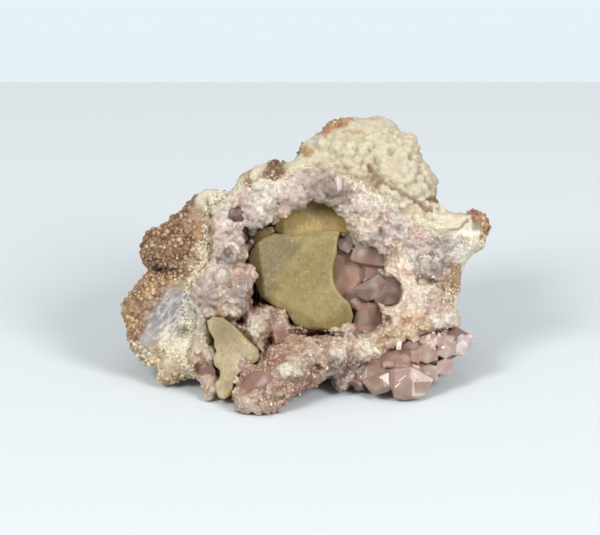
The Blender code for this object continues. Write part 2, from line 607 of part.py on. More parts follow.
def make_crust(wall):
    """The druse with its crystals, cut clear of the wall, the blades and the cluster."""
    thing = object_of("amethyst_crust", *level_surface(CRUST))
    displace(thing, crust_relief)
    largest_part(thing)
    modified(thing, "DECIMATE", ratio=CRUST_TRIANGLES / len(thing.data.polygons))
    rows = INNER_POINTS + druse_points(thing, DRUSE_POINTS)
    combine(thing, crystals_object("druse", rows), "UNION")
    for cutter in [grown_copy(wall, GAP)] + cutters():
        combine(thing, cutter, "DIFFERENCE")
    above_ground(thing, DRUSE_FOOT)
    largest_part(thing)
    in_triangles(thing)
    modified(thing, "DECIMATE", ratio=CRUST_TRIANGLES_LEFT / len(thing.data.polygons))
    largest_part(thing)
    return thing


def set_down(things):
    """Turns the face frame upright with its lean, centres the part and goes to metres."""
    turn = Matrix.Rotation(math.pi / 2 - LEAN, 4, "X")
    for thing in things:
        thing.data.transform(turn)
        thing.data.transform(Matrix.Translation((0, 0, RISE)))
    corners = [v.co for thing in things for v in thing.data.vertices]
    middle = [(min(c[k] for c in corners) + max(c[k] for c in corners)) / 2 for k in range(2)]
    for thing in things:
        thing.data.transform(Matrix.Translation((-middle[0], -middle[1], 0)))
        thing.data.transform(Matrix.Scale(0.001, 4))


def paint(thing, colour, roughness):
    material = bpy.data.materials.new(thing.name)
    material.use_nodes = True
    shader = material.node_tree.nodes["Principled BSDF"]
    shader.inputs["Base Color"].default_value = (*colour, 1)
    shader.inputs["Roughness"].default_value = roughness
    shader.inputs["Metallic"].default_value = 0
    thing.data.materials.clear()
    thing.data.materials.append(material)


for old in list(bpy.data.objects):
    bpy.data.objects.remove(old)

GRID = grid()
WALL = wall_field(*GRID)
CRUST = crust_field(*GRID, WALL)

blades = [blade(*row) for row in BLADES]
cluster = make_cluster()
wall = make_wall()
crust = make_crust(wall)
set_down([wall, crust, cluster] + blades)

paint(wall, (0.72, 0.60, 0.45), 0.8)
paint(crust, (0.78, 0.62, 0.60), 0.4)
paint(cluster, (0.66, 0.50, 0.50), 0.3)
paint(blades[0], (0.60, 0.52, 0.26), 0.5)
paint(blades[1], (0.42, 0.32, 0.12), 0.5)
paint(blades[2], (0.50, 0.38, 0.18), 0.5)
paint(blades[3], (0.72, 0.64, 0.44), 0.5)
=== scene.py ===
"""Looks of the amethyst and calcite geode piece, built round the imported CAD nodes."""

import math

import bmesh
import bpy
import numpy as np
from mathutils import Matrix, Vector, noise
from mathutils.bvhtree import BVHTree


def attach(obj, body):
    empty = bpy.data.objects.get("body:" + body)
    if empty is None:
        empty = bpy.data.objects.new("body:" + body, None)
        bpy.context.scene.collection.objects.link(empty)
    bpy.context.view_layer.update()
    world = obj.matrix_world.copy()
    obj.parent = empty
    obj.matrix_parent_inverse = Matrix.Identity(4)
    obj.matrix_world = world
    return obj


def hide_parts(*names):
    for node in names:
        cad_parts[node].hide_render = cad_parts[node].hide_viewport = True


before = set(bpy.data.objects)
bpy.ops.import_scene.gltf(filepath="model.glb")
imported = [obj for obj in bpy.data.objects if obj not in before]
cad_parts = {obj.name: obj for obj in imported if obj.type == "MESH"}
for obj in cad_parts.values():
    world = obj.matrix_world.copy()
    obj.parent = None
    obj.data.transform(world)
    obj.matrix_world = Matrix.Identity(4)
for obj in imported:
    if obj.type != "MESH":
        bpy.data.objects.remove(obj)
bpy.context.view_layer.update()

LEAN = math.radians(20)  # the broken face leans back by this, as in the part
RISE = 34.8  # height in mm of the middle of the face
MIDDLE = (1.81357, 3.81778)  # mm from the face's middle to the part's centre, x and y
MM = 0.001
SIGHT = 1.6  # metres from the camera to the middle of the face
FIELD = 0.18  # metres that the picture spans at the middle of the face
SEED = 5

AXIS_V = Vector((0, math.sin(LEAN), math.cos(LEAN)))
AXIS_W = Vector((0, -math.cos(LEAN), math.sin(LEAN)))
START = Vector((-MIDDLE[0], -MIDDLE[1], RISE))
AXES = np.array([(1, 0, 0), tuple(AXIS_V), tuple(AXIS_W)])
FRONT = np.array(AXIS_W)  # the way from the face to the viewer


def place(u, v, w):
    """A point of the face frame, in millimetres, as a place in metres."""
    return (START + Vector((u, 0, 0)) + AXIS_V * v + AXIS_W * w) * MM


def face_frame(points):
    """Places in metres, one a row, as u, v, w in millimetres."""
    return (np.asarray(points) / MM - np.array(START)) @ AXES.T


def linear(code):
    """A colour written as six hex digits, as linear red, green, blue."""
    parts = [int(code[k : k + 2], 16) / 255 for k in (0, 2, 4)]
    return np.array([p / 12.92 if p < 0.04045 else ((p + 0.055) / 1.055) ** 2.4 for p in parts])


def ease(value):
    """Zero below 0, one above 1 and smooth between."""
    t = np.clip(value, 0, 1)
    return t * t * (3 - 2 * t)


def mixed(one, two, share):
    """The first where the share is zero, the second where it is one."""
    return one * (1 - share) + two * share


# ---------------------------------------------------------------- colours by place

# The colours of the rock by name: of its high places and of its low ones. The darker low colour is
# painted shade in the hollows between crumbs and knobs; the crumbs also mix the two at random.
ROCK_COLOURS = {
    "white": ("e8e4d8", "cbbfa8"),
    "cream": ("d5ceb8", "b9a88d"),
    "chalcedony": ("ccc3aa", "a99879"),
    "gold": ("ffdaa4", "a4784d"),
    "creased": ("d0c7af", "93795a"),
    "agate": ("aca6a0", "7c797c"),
    "rind": ("beac8e", "90755a"),
    "dirty_rind": ("bdaa89", "81664a"),
    "tan": ("b6946e", "7e5e42"),
    "light_brown": ("b5946d", "6c5039"),
    "grey": ("8d8475", "635b4e"),
    "rust": ("ac7d61", "724d38"),
    "brown": ("a08064", "5b4132"),
    "dark_brown": ("8f6b52", "503527"),
}
# Rock and chalcedony: u, v, reach, colour, how rough its lumps are.
ROCK_ZONES = [
    (-38, 8, 9, "brown", 1.0), (-34, 13, 4, "brown", 0.9), (-43, 4, 5, "brown", 1.0),
    (-36, 0, 4, "brown", 1.0), (-47, -6, 5, "light_brown", 0.9), (-49, -12, 5, "light_brown", 0.8),
    (-46, -10, 4, "light_brown", 0.9), (-52.5, -12, 1.6, "dirty_rind", 0.4),
    (-50, -20, 3, "light_brown", 0.8), (-44, -29, 3, "gold", 0.8), (-38, -33, 3, "dirty_rind", 0.7),
    (-45, -25, 3, "creased", 0.7), (-33, 19.5, 2, "brown", 0.5), (-31, 16, 3, "rind", 0.3),
    (-27, 20, 4, "cream", 0.2), (-28, 13, 4, "tan", 0.2), (-29.5, 5, 3.4, "rind", 0.4),
    (-32, -3, 4, "rind", 0.4), (-37, -5, 3, "rind", 0.3), (-39, -12, 4, "agate", 0.3),
    (-42, -15, 3, "agate", 0.3), (-36, -9, 3, "agate", 0.3), (-42.6, -21.6, 0.8, "brown", 0.4),
    (-41.2, -24.0, 0.8, "brown", 0.4), (-44, -19, 3, "agate", 0.4),
    (-38, -20, 4, "cream", 0.3), (-41, -27, 4, "creased", 0.5), (-34, -27, 3, "rind", 0.4),
    (-10.4, 28.2, 1.7, "brown", 0.8), (-7.6, 29.6, 1.9, "dark_brown", 0.8),
    (-4.8, 30.6, 1.6, "brown", 0.8), (-16, 27.3, 1.4, "rust", 0.5), (-12, 26.0, 4, "cream", 0.2),
    (-20, 23, 3, "chalcedony", 0.2), (-2, 30, 3, "chalcedony", 0.2), (2.5, 35, 1.6, "tan", 0.4),
    (11.5, 42.4, 3.0, "tan", 0.6), (7.8, 41.0, 1.8, "rust", 0.5), (16.8, 38.6, 1.5, "tan", 0.4),
    (12.4, 40.0, 1.5, "chalcedony", 0.4), (8, 36, 4, "chalcedony", 0.15),
    (14, 35, 4, "chalcedony", 0.15), (22, 42, 6, "chalcedony", 0.12),
    (28, 38, 5, "chalcedony", 0.15), (30, 30, 5, "creased", 0.2), (34, 24, 4, "creased", 0.2),
    (24, 31, 4, "creased", 0.2), (21.8, 29.0, 1.3, "dark_brown", 0.6),
    (23.4, 26.6, 1.0, "dark_brown", 0.5), (39.6, 21, 1.6, "brown", 0.4), (35, 18, 4, "cream", 0.1),
    (37, 14, 3, "chalcedony", 0.1), (31, 18, 4, "cream", 0.1), (41, 15, 4, "cream", 0.15),
    (51, 16.0, 1.8, "rust", 0.9), (55.2, 13.2, 2.2, "tan", 0.9), (52.2, 12.5, 1.5, "grey", 0.2),
    (55.6, 9.0, 1.8, "tan", 0.9), (49.5, 9, 4, "white", 0.3), (47, 13.5, 3, "cream", 0.2),
    (52, 6, 3, "cream", 0.4), (47.5, -4, 2.4, "tan", 0.5), (45, -8, 3, "dirty_rind", 0.3),
    (46, -13, 3, "dirty_rind", 0.3),
]
ROCK_BACK = ("a08468", "66503c")  # where the rock turns away from the broken face
ROCK_PALE = ("b8ae98", "8c8068")  # cream chalcedony that shows through on the back

# The colours of the druse by name: one for each end of the change between its crystals.
DRUSE_COLOURS = {
    "brightest": ("ffeed5", "e8cebb"),
    "white": ("e3d5c4", "cebbae"),
    "orange": ("e2cdae", "d4b997"),
    "cream": ("d9cbb2", "c3ae97"),
    "pale_lilac": ("cebfb2", "b4a398"),
    "sand": ("ceba9a", "bc9f82"),
    "lilac": ("c3b0a5", "a8958a"),
    "pale_pink": ("bda288", "a88a73"),
    "grey_pink": ("a99587", "917c70"),
    "pink": ("a78166", "957058"),
    "shade": ("83706b", "74615c"),
    "mauve": ("7c5e4e", "6c5042"),
}
# Druse: u, v, reach, colour, smallest and largest crystal radius in mm.
DRUSE_ZONES = [
    (-23, 19, 4, "cream", 0.6, 1.1), (-14, 21.5, 5, "pale_lilac", 0.7, 1.2),
    (-8, 23, 4, "pale_lilac", 0.8, 1.4), (-11, 16, 4, "pale_lilac", 0.8, 1.4),
    (-6, 18.5, 3, "pale_pink", 0.8, 1.4), (-2, 22, 4, "lilac", 0.8, 1.4),
    (3, 26, 4, "grey_pink", 0.8, 1.3), (8, 24, 6, "mauve", 0.8, 1.4),
    (13, 25.5, 3, "grey_pink", 0.7, 1.2), (4, 29, 3, "lilac", 0.6, 1.0),
    (19, 22, 4, "white", 0.6, 1.0), (17, 18, 4, "white", 0.6, 1.1), (20, 13, 4, "cream", 0.6, 1.1),
    (26, 18, 4, "white", 0.5, 0.9), (28, 13, 3, "lilac", 0.8, 1.3), (24, 9, 4, "lilac", 0.7, 1.2),
    (33, 13, 4, "white", 0.5, 0.9), (34, 8, 4, "pale_lilac", 0.7, 1.2),
    (40, 9, 4, "white", 0.5, 0.9), (44, 7, 4, "lilac", 0.7, 1.2), (42, 3, 5, "mauve", 0.7, 1.2),
    (37, 4, 3, "lilac", 0.7, 1.2), (47, 2, 3, "pale_lilac", 0.6, 1.0),
    (37, -0.5, 3, "lilac", 0.7, 1.1), (28, 4, 4, "cream", 0.5, 0.9),
    (30, -2, 4, "brightest", 0.5, 0.9), (31, -8, 4, "white", 0.5, 0.9),
    (36, -8, 4, "white", 0.5, 0.9), (28, -13, 4, "cream", 0.5, 0.9),
    (33.5, -13, 3.4, "orange", 0.5, 0.9), (33, -18, 4, "orange", 0.5, 0.9),
    (40, -11, 3, "pale_pink", 0.7, 1.1), (43, -15, 4, "white", 0.5, 0.9),
    (26, -20, 4, "sand", 0.6, 1.0), (21, -24, 3, "cream", 0.7, 1.2),
    (13, -24, 4, "pale_pink", 0.6, 1.1), (8, -24, 4, "pale_pink", 0.5, 0.9),
    (1, -25, 5, "pale_pink", 0.5, 0.9), (-5, -24, 3, "pink", 0.5, 0.9),
    (14, -31, 4, "mauve", 0.7, 1.2), (0, -32, 5, "pink", 0.5, 0.9),
    (-9, -32, 5, "pink", 0.5, 0.9), (-14, -35, 4, "pink", 0.7, 1.2), (-9, -38, 4, "pink", 0.6, 1.1),
    (-15, -41, 4, "pink", 0.7, 1.2), (-9, -42, 3, "pink", 0.7, 1.2),
    (-22, -38, 4, "sand", 0.6, 1.1), (-27, -34, 4, "pale_pink", 0.7, 1.1),
    (-27, -30, 3, "pink", 0.7, 1.1), (-30, -24, 4, "sand", 0.5, 0.9),
    (-31, -18, 4, "cream", 0.5, 0.9), (-12, -15, 4, "pale_pink", 0.5, 0.8),
    (-11, -21, 4, "pale_pink", 0.5, 0.8), (-22, -13, 4, "pale_pink", 0.8, 1.4),
    (-18, -9, 5, "mauve", 0.8, 1.4), (-24, -7, 4, "pale_pink", 0.8, 1.4),
    (-29, -9, 4, "grey_pink", 0.8, 1.3), (-19, -3, 4, "pale_pink", 0.8, 1.4),
    (-25, 1, 4, "lilac", 0.8, 1.3), (-19, 4, 4, "pale_pink", 0.8, 1.4),
    (-24, 6, 4, "lilac", 0.8, 1.3), (-18, 9, 4, "grey_pink", 0.8, 1.3),
    (-24, 12, 4, "pale_lilac", 0.8, 1.3), (-20, 15, 4, "lilac", 0.6, 1.1),
]
DEEP_COLOUR = linear("866459")  # the druse deep inside the hollow
DEEP_FROM, DEEP_TO = -9.0, -17.0  # w in mm over which the druse takes the deep colour

# Gaps between the clumps of druse, pushed in and painted dark as painted shade: u, v, half sizes
# across the face, turn in degrees.
GAPS = [
    (-19.0, 15.8, 2.0, 1.5, 0), (-16.2, 9.4, 1.6, 4.2, 8), (-16.8, 1.6, 2.6, 0.9, -8),
    (-13.6, -10.8, 1.7, 4.2, 8), (-17.8, -16.4, 3.0, 1.3, -18), (-34.2, -19.7, 2.6, 1.2, 0),
    (-9.6, -23.8, 1.1, 4.2, -24), (6.6, -20.2, 7.4, 0.9, 0), (5.2, -30.2, 2.5, 1.7, 20),
    (38.2, -3.8, 3.6, 0.8, -22), (36.8, -20.2, 1.4, 1.1, 0),
    (8.8, -34.4, 1.6, 1.6, 0), (29.5, -26.0, 4.0, 0.8, -8), (-30.8, -30.4, 1.2, 1.6, 0),
    (20.2, -29.2, 2.2, 0.9, 20), (-24.2, 2.4, 1.8, 0.8, -20), (-38.0, -27.6, 1.2, 0.5, 0),
    (26.6, -15.6, 1.0, 2.0, 20), (45.0, -9.6, 2.4, 0.7, 20),
]
# Smooth crystal faces without druse on them: u, v, half sizes, turn in degrees.
WINDOWS = [
    (-13.3, -33.7, 5.6, 2.9, 8), (-27.2, -30.9, 2.6, 1.9, 0), (-5.7, -19.4, 1.8, 2.4, 10),
    (15.6, -34.8, 2.2, 1.2, 0),
]
WINDOW_COLOUR = linear("97766c")
INNER_COLOUR = linear("a07f70")
# Clumps of druse that stand proud: u, v, half sizes, turn in degrees, height in mm.
LUMPS = [
    (-12.2, -17.2, 3.6, 5.6, -10, 1.9), (2.2, -24.8, 5.6, 2.9, 6, 1.8),
    (-2.6, -30.0, 4.8, 3.4, 0, 2.2), (11.6, -26.0, 3.2, 4.4, 0, 1.8),
    (-6.8, -36.6, 3.4, 2.8, 30, 1.3), (-15.2, -40.6, 3.6, 2.2, 0, 1.4),
    (-29.6, -22.4, 3.0, 4.6, 12, 1.4), (-22.0, -8.6, 5.0, 3.0, 20, 1.4),
    (-20.4, 4.6, 3.4, 3.2, 0, 1.4), (-20.6, 11.8, 3.2, 2.6, 0, 1.3),
    (-12.4, 17.0, 3.4, 3.0, 0, 1.5), (18.6, 18.2, 4.0, 2.6, -35, 1.4),
    (20.6, 12.8, 3.2, 2.2, 10, 1.2), (30.6, 1.4, 2.6, 4.0, 0, 1.4),
    (29.6, -7.4, 3.2, 3.0, 0, 1.6), (33.8, -13.4, 4.2, 3.2, 25, 1.8),
    (27.4, -18.6, 4.0, 2.2, 15, 1.4), (42.0, -15.6, 4.2, 2.0, 5, 1.6), (44.0, 4.0, 4.4, 3.4, 0, 1.0),
    (20.8, -23.4, 3.0, 2.6, 0, 1.4), (-24.0, -35.2, 1.8, 3.4, 0, 1.0),
]
# The painted shade of the gaps
GAP_SHADE_COLOUR = linear("7d5545")
GAP_DEPTH = 1.9  # mm that the crust is pushed in at the gaps
BULB_GAIN = 0.91  # how bright the named bulbs of the rim are
BED_MESH = 0.37  # mm between the points of the druse's mesh
BED_TRIANGLES = 194000
BED_BACK = -18  # w in mm, behind which the druse is out of sight
# Patches of fine cream crystals on the rock: u, v, half sizes, turn in degrees.
FRINGE_PATCHES = [
    (-38.5, -24.5, 5.0, 2.6, -20), (-34.0, -13.0, 3.0, 4.0, 0), (52.0, 7.6, 4.0, 2.2, 25),
    (47.0, -9.0, 2.4, 4.0, 0), (-29, 5, 2, 6, 0),
]
# How many of each are strewn by chance.
CRUMB_COUNT = 8600
BULB_COUNT = 220
POINT_COUNT = 2600
GRAIN_COUNT = 4200
FRINGE_COUNT = 3400

# The druse's edge against the rock, where its crystals get smaller and paler.
DRUSE_EDGE = [
    (-25.5, 19.5), (-27, 12), (-26, 5), (-29, 0), (-32, -5), (-33, -12), (-30, -16),
    (-33, -21), (-34, -28), (-30, -33), (-27.5, -36.5), (-24, -38.7), (-20, -40.5),
    (-16.5, -43.8), (-13.5, -42.6), (-9.6, -44), (-6.5, -42), (-3, -38.7), (3, -36.6),
    (7.0, -33.8), (9.2, -32.6), (11, -34.6), (15.6, -36.6), (19.2, -34.8), (22, -31),
    (30, -27), (38, -22), (46, -21), (50, -19.5), (49, -14.5), (46, -11), (42.5, -6.5),
    (45, -1.5), (49, 3), (48, 8.5), (41, 11.5), (34, 13.5), (28.5, 18.5), (22, 23.5),
    (14, 27.5), (8, 30.5), (1, 30.0), (-5, 26), (-12, 26.5), (-19, 23),
]


def within(uvw, rows):
    """One in the middle of an ellipse of the table, zero at its edge and outside."""
    share = np.zeros(len(uvw))
    for u, v, a, b, turn in rows:
        c, s = math.cos(math.radians(turn)), math.sin(math.radians(turn))
        x, y = uvw[:, 0] - u, uvw[:, 1] - v
        away = ((x * c + y * s) / a) ** 2 + ((y * c - x * s) / b) ** 2
        share = np.maximum(share, 1 - away)
    return share


def gap_share(uvw):
    """One in the middle of a gap, zero and less outside."""
    return within(wandering(uvw, 0.5, 0.8), GAPS)


def segment_distance(uvw, au, av, bu, bv):
    """Distance in mm across the face to the line between two points."""
    x, y, eu, ev = uvw[:, 0] - au, uvw[:, 1] - av, bu - au, bv - av
    along = np.clip((x * eu + y * ev) / (eu * eu + ev * ev), 0, 1)
    return np.hypot(x - along * eu, y - along * ev)


def edge_distance(uvw):
    """Distance in mm across the face to the druse's edge, negative inside it."""
    u, v = uvw[:, 0], uvw[:, 1]
    nearest = np.full(len(u), 1e9)
    enclosed = np.zeros(len(u), bool)
    for (au, av), (bu, bv) in zip(DRUSE_EDGE, DRUSE_EDGE[1:] + DRUSE_EDGE[:1]):
        nearest = np.minimum(nearest, segment_distance(uvw, au, av, bu, bv))
        if av != bv:
            enclosed ^= ((av > v) != (bv > v)) & (u < au + (v - av) * (bu - au) / (bv - av))
    return np.where(enclosed, -nearest, nearest)


def shares_of(uvw, zones):
    """How much each zone counts at each place: rows are places and sum to one."""
    shares = np.empty((len(uvw), len(zones)))
    for k, zone in enumerate(zones):
        away = np.hypot(uvw[:, 0] - zone[0], uvw[:, 1] - zone[1]) / zone[2]
        shares[:, k] = np.exp(-2.2 * away * away) + 1e-7 / (0.2 + away**4)
    return shares / shares.sum(axis=1, keepdims=True)


def noise_at(q):
    """Three values of noise; the library's own function for this changes with the time."""
    return Vector([noise.noise(q + Vector(shift)) for shift in ((9, 2, 5), (3, 27, 8), (14, 6, 33))])


def noise_over(uvw, scale):
    return np.array([noise.noise(Vector(p) * scale) for p in uvw])


def wandering(uvw, scale, reach):
    """The places moved sideways smoothly, so that zones meet along wandering lines."""
    moved = uvw.copy()
    for k, p in enumerate(uvw):
        q = Vector(p) * scale
        moved[k, 0] += reach * noise.noise(q)
        moved[k, 1] += reach * noise.noise(q + Vector((31, 17, 5)))
    return moved


def zone_colours(zones, colours, which=None):
    """The colour of each zone; which picks one of a named pair."""
    named = {name: linear(c if which is None else c[which]) for name, c in colours.items()}
    return np.array([named[zone[3]] for zone in zones])


# ---------------------------------------------------------------- meshes

def new_object(name, points, faces):
    mesh = bpy.data.meshes.new(name)
    mesh.from_pydata(points, [], faces)
    thing = bpy.data.objects.new(name, mesh)
    bpy.context.scene.collection.objects.link(thing)
    return thing


def copy_of_node(node, name):
    """The node's solid as a new piece."""
    thing = bpy.data.objects.new(name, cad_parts[node].data.copy())
    bpy.context.scene.collection.objects.link(thing)
    thing.matrix_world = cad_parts[node].matrix_world
    return thing


def modified(thing, kind, **settings):
    """The object with one modifier made and taken into its mesh."""
    modifier = thing.modifiers.new(kind.lower(), kind)
    for key, value in settings.items():
        setattr(modifier, key, value)
    graph = bpy.context.evaluated_depsgraph_get()
    mesh = bpy.data.meshes.new_from_object(thing.evaluated_get(graph))
    thing.modifiers.clear()
    thing.data = mesh
    return thing


def remeshed(thing, size, smoothing):
    """The object with an even mesh of the given size in mm, its facets rounded over.

    Each smoothing moves every point a quarter of the way to the middle of its neighbours."""
    modified(thing, "REMESH", mode="VOXEL", voxel_size=size * MM, use_smooth_shade=True)
    edges = thing.data.edges
    ends = np.empty(len(edges) * 2, np.int32)
    edges.foreach_get("vertices", ends)
    ends = ends.reshape(-1, 2)
    here, there = np.concatenate([ends, ends[:, ::-1]]).T
    points = points_of(thing)
    number = np.bincount(here, minlength=len(points))[:, None]
    for _ in range(smoothing):
        sums = [np.bincount(here, points[there, axis], len(points)) for axis in range(3)]
        points = 0.75 * points + 0.25 * np.stack(sums, axis=1) / number
    put_points(thing, np.round(points, 8))
    return thing


def points_of(thing):
    points = np.empty(len(thing.data.vertices) * 3)
    thing.data.vertices.foreach_get("co", points)
    return points.reshape(-1, 3)


def normals_of(thing):
    normals = np.empty(len(thing.data.vertices) * 3, np.float32)
    thing.data.vertices.foreach_get("normal", normals)
    return normals.reshape(-1, 3).astype(float)


def put_points(thing, points):
    """Moves the vertices to the given places in metres."""
    thing.data.vertices.foreach_set("co", points.astype(np.float32).ravel())
    thing.data.update()


def raised(thing, heights):
    """Moves every vertex along its normal by a height in mm."""
    put_points(thing, points_of(thing) + normals_of(thing) * heights[:, None] * MM)


def tint(thing, colours, name="tint"):
    """Stores one colour a vertex as the attribute that the materials read."""
    layer = thing.data.color_attributes.new(name, "FLOAT_COLOR", "POINT")
    full = np.ones((len(colours), 4), np.float32)
    full[:, :3] = np.clip(colours, 0, 1)
    layer.data.foreach_set("color", full.ravel())


def kept_off_floor(thing):
    """No vertex lower than a tenth of a millimetre, as the table would hold it."""
    points = points_of(thing)
    points[:, 2] = np.maximum(points[:, 2], 0.1 * MM)
    put_points(thing, points)


def join_piece(thing, material, slot, *nodes):
    """Dresses a piece, ties it to the body and hides the nodes that it stands for."""
    thing.data.materials.clear()
    thing.data.materials.append(material)
    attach(thing, "root")
    if nodes:
        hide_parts(*nodes)


# ---------------------------------------------------------------- materials

GOLD = linear("8f6c1e")
FROST_ON_CALCITE = linear("d8cfae")
QUARTZ_IOR = 1.544
CALCITE_IOR = 1.56


def material_nodes(name):
    material = bpy.data.materials.new(name)
    material.use_nodes = True
    tree = material.node_tree
    return material, tree, tree.nodes["Principled BSDF"]


def noise_node(tree, scale, detail, roughness=0.6, stretch=None):
    """Noise in object coordinates; scale is in features per metre."""
    texture = tree.nodes.new("ShaderNodeTexNoise")
    where = tree.nodes.new("ShaderNodeTexCoord").outputs["Object"]
    if stretch:
        mapping = tree.nodes.new("ShaderNodeMapping")
        mapping.inputs["Scale"].default_value = stretch
        mapping.inputs["Rotation"].default_value = (-LEAN, 0, 0)
        tree.links.new(where, mapping.inputs["Vector"])
        where = mapping.outputs["Vector"]
    texture.inputs["Scale"].default_value = scale
    texture.inputs["Detail"].default_value = detail
    texture.inputs["Roughness"].default_value = roughness
    tree.links.new(where, texture.inputs["Vector"])
    return texture.outputs["Fac"]


def noise_ramp(tree, stops, *noise_settings):
    """Noise as greys: each stop is a value of the noise and the grey that it gets."""
    ramp = tree.nodes.new("ShaderNodeValToRGB")
    elements = ramp.color_ramp.elements
    while len(elements) < len(stops):
        elements.new(0.5)
    for element, (position, grey) in zip(elements, stops):
        element.position = position
        element.color = (grey, grey, grey, 1)
    tree.links.new(noise_node(tree, *noise_settings), ramp.inputs["Fac"])
    return ramp.outputs["Color"]


def multiplied(tree, one, two):
    mix = tree.nodes.new("ShaderNodeMix")
    mix.data_type = "RGBA"
    mix.blend_type = "MULTIPLY"
    mix.inputs["Factor"].default_value = 1.0
    tree.links.new(one, mix.inputs["A"])
    tree.links.new(two, mix.inputs["B"])
    return mix.outputs["Result"]


def blended(tree, factor, one, colour):
    mix = tree.nodes.new("ShaderNodeMix")
    mix.data_type = "RGBA"
    tree.links.new(factor, mix.inputs["Factor"])
    tree.links.new(one, mix.inputs["A"])
    mix.inputs["B"].default_value = (*colour, 1)
    return mix.outputs["Result"]


def bumped(tree, shader, strength, distance, *noise_settings):
    """Fine relief of noise on the shader; distance is its height in mm."""
    bump = tree.nodes.new("ShaderNodeBump")
    bump.inputs["Strength"].default_value = strength
    bump.inputs["Distance"].default_value = distance * MM
    tree.links.new(noise_node(tree, *noise_settings), bump.inputs["Height"])
    tree.links.new(bump.outputs["Normal"], shader.inputs["Normal"])


def attribute_node(tree, name):
    attribute = tree.nodes.new("ShaderNodeAttribute")
    attribute.attribute_name = name
    return attribute.outputs["Color"]


def soft_inside(shader, share, radius, reach):
    """Light scattered below the surface: its share, its red, green and blue, its reach in mm."""
    shader.inputs["Subsurface Weight"].default_value = share
    shader.inputs["Subsurface Radius"].default_value = radius
    shader.inputs["Subsurface Scale"].default_value = reach * MM


def rock_material():
    material, tree, shader = material_nodes("rock_surface")
    mottle = noise_ramp(tree, [(0.3, 0.80), (0.7, 1.08)], 900, 5)
    grain = noise_ramp(tree, [(0.3, 0.88), (0.7, 1.06)], 3200, 2)
    colour = multiplied(tree, multiplied(tree, attribute_node(tree, "tint"), mottle), grain)
    tree.links.new(colour, shader.inputs["Base Color"])
    shader.inputs["Roughness"].default_value = 0.8
    soft_inside(shader, 0.12, (0.9, 0.7, 0.5), 1.0)
    bumped(tree, shader, 0.7, 0.35, 2200, 5)
    return material


def quartz_material(name, roughness, share, reach, relief):
    """Cloudy quartz: share and reach in mm say how its inside scatters light."""
    material, tree, shader = material_nodes(name)
    cloud = noise_ramp(tree, [(0.3, 0.90), (0.7, 1.05)], 1100, 3)
    colour = multiplied(tree, attribute_node(tree, "tint"), cloud)
    tree.links.new(colour, shader.inputs["Base Color"])
    shader.inputs["Roughness"].default_value = roughness
    shader.inputs["IOR"].default_value = QUARTZ_IOR
    soft_inside(shader, share, (1.0, 0.78, 0.70), reach)
    if relief:
        bumped(tree, shader, relief, 0.15, 2600, 3)
    return material


def calcite_material():
    """Calcite: cloudy, with upright streaks, pale frost and gold specks where "speckle" says."""
    material, tree, shader = material_nodes("calcite_surface")
    cloud = noise_ramp(tree, [(0.3, 0.84), (0.7, 1.14)], 220, 5)
    streaks = noise_ramp(tree, [(0.35, 0.84), (0.65, 1.14)], 1500, 5, 0.6, (1.0, 1.0, 0.10))
    grain = noise_ramp(tree, [(0.3, 0.92), (0.7, 1.06)], 3200, 2)
    colour = attribute_node(tree, "tint")
    for layer in (cloud, streaks, grain):
        colour = multiplied(tree, colour, layer)
    frost = noise_ramp(tree, [(0.62, 0.0), (0.74, 0.45)], 1400, 3)
    colour = blended(tree, frost, colour, FROST_ON_CALCITE)
    specks = noise_ramp(tree, [(0.56, 0.0), (0.63, 1.0)], 1150, 3, 0.7)
    specks = multiplied(tree, specks, attribute_node(tree, "speckle"))
    colour = blended(tree, specks, colour, GOLD)
    tree.links.new(colour, shader.inputs["Base Color"])
    shader.inputs["Roughness"].default_value = 0.38
    shader.inputs["IOR"].default_value = CALCITE_IOR
    shader.inputs["Transmission Weight"].default_value = 0.08
    soft_inside(shader, 0.6, (1.0, 0.85, 0.40), 3.0)
    bumped(tree, shader, 0.55, 0.22, 1300, 5)
    return material


# ---------------------------------------------------------------- rock wall

# Rounded knobs of chalcedony: u, v, radius.
KNOBS = [
    (25.2, 32.6, 2.2), (26.0, 29.5, 2.1), (21.6, 32.2, 1.6), (23.6, 34.9, 1.7), (28.7, 33.4, 1.8),
    (31.8, 29.4, 2.0), (33.5, 26.2, 1.7), (30.0, 26.4, 1.9), (35.2, 22.8, 2.3), (32.3, 22.6, 1.6),
    (28.2, 37.0, 1.7), (31.4, 34.2, 1.6), (24.6, 38.2, 1.4), (19.0, 35.2, 1.7), (16.2, 32.6, 1.4),
    (11.2, 37.0, 2.4), (6.8, 37.8, 2.0), (14.6, 37.4, 1.6), (34.5, 30.2, 1.4), (36.6, 26.6, 1.5),
    (20.0, 30.2, 1.2), (27.6, 27.0, 1.3), (29.6, 30.6, 1.2), (36.9, 20.6, 1.6), (12.6, 32.4, 1.2),
    (-26.8, 21.0, 1.6), (-23.4, 22.0, 1.3), (-28.6, 17.0, 1.8), (-28.9, 12.4, 1.5),
    (-29.8, 8.6, 1.4), (-31.2, 3.4, 1.5), (-33.4, -1.0, 1.6), (-36.8, -4.0, 1.5),
]
MORE_KNOBS = 420  # placed by chance
KNOB_RADII = (0.7, 1.6)  # of these, in mm
KNOB_RISE = 1.15  # how high a knob stands against a ball of its radius
# Creases between the dome, the slab and the tip, pushed in and painted with shade: two ends u, v and
# a half width.
CREASES = [
    (20.6, 30.4, 24.4, 25.4, 1.0), (24.4, 25.4, 32.0, 21.2, 0.8), (32.0, 21.2, 40.0, 16.6, 0.8),
    (44.5, 10.5, 48.6, 12.6, 0.6), (48.6, 12.6, 50.2, 14.4, 0.6),
    (-27.6, 19.6, -26.2, 14.0, 0.6), (46.0, -5.0, 45.4, -14.0, 0.6),
]
CREASE_SHADE_COLOUR = linear("8a6c50")
PALE_CRUMB = linear("dccdb2")
AGATE_STREAK = linear("696973")
AGATE_PALE = linear("d2cac0")


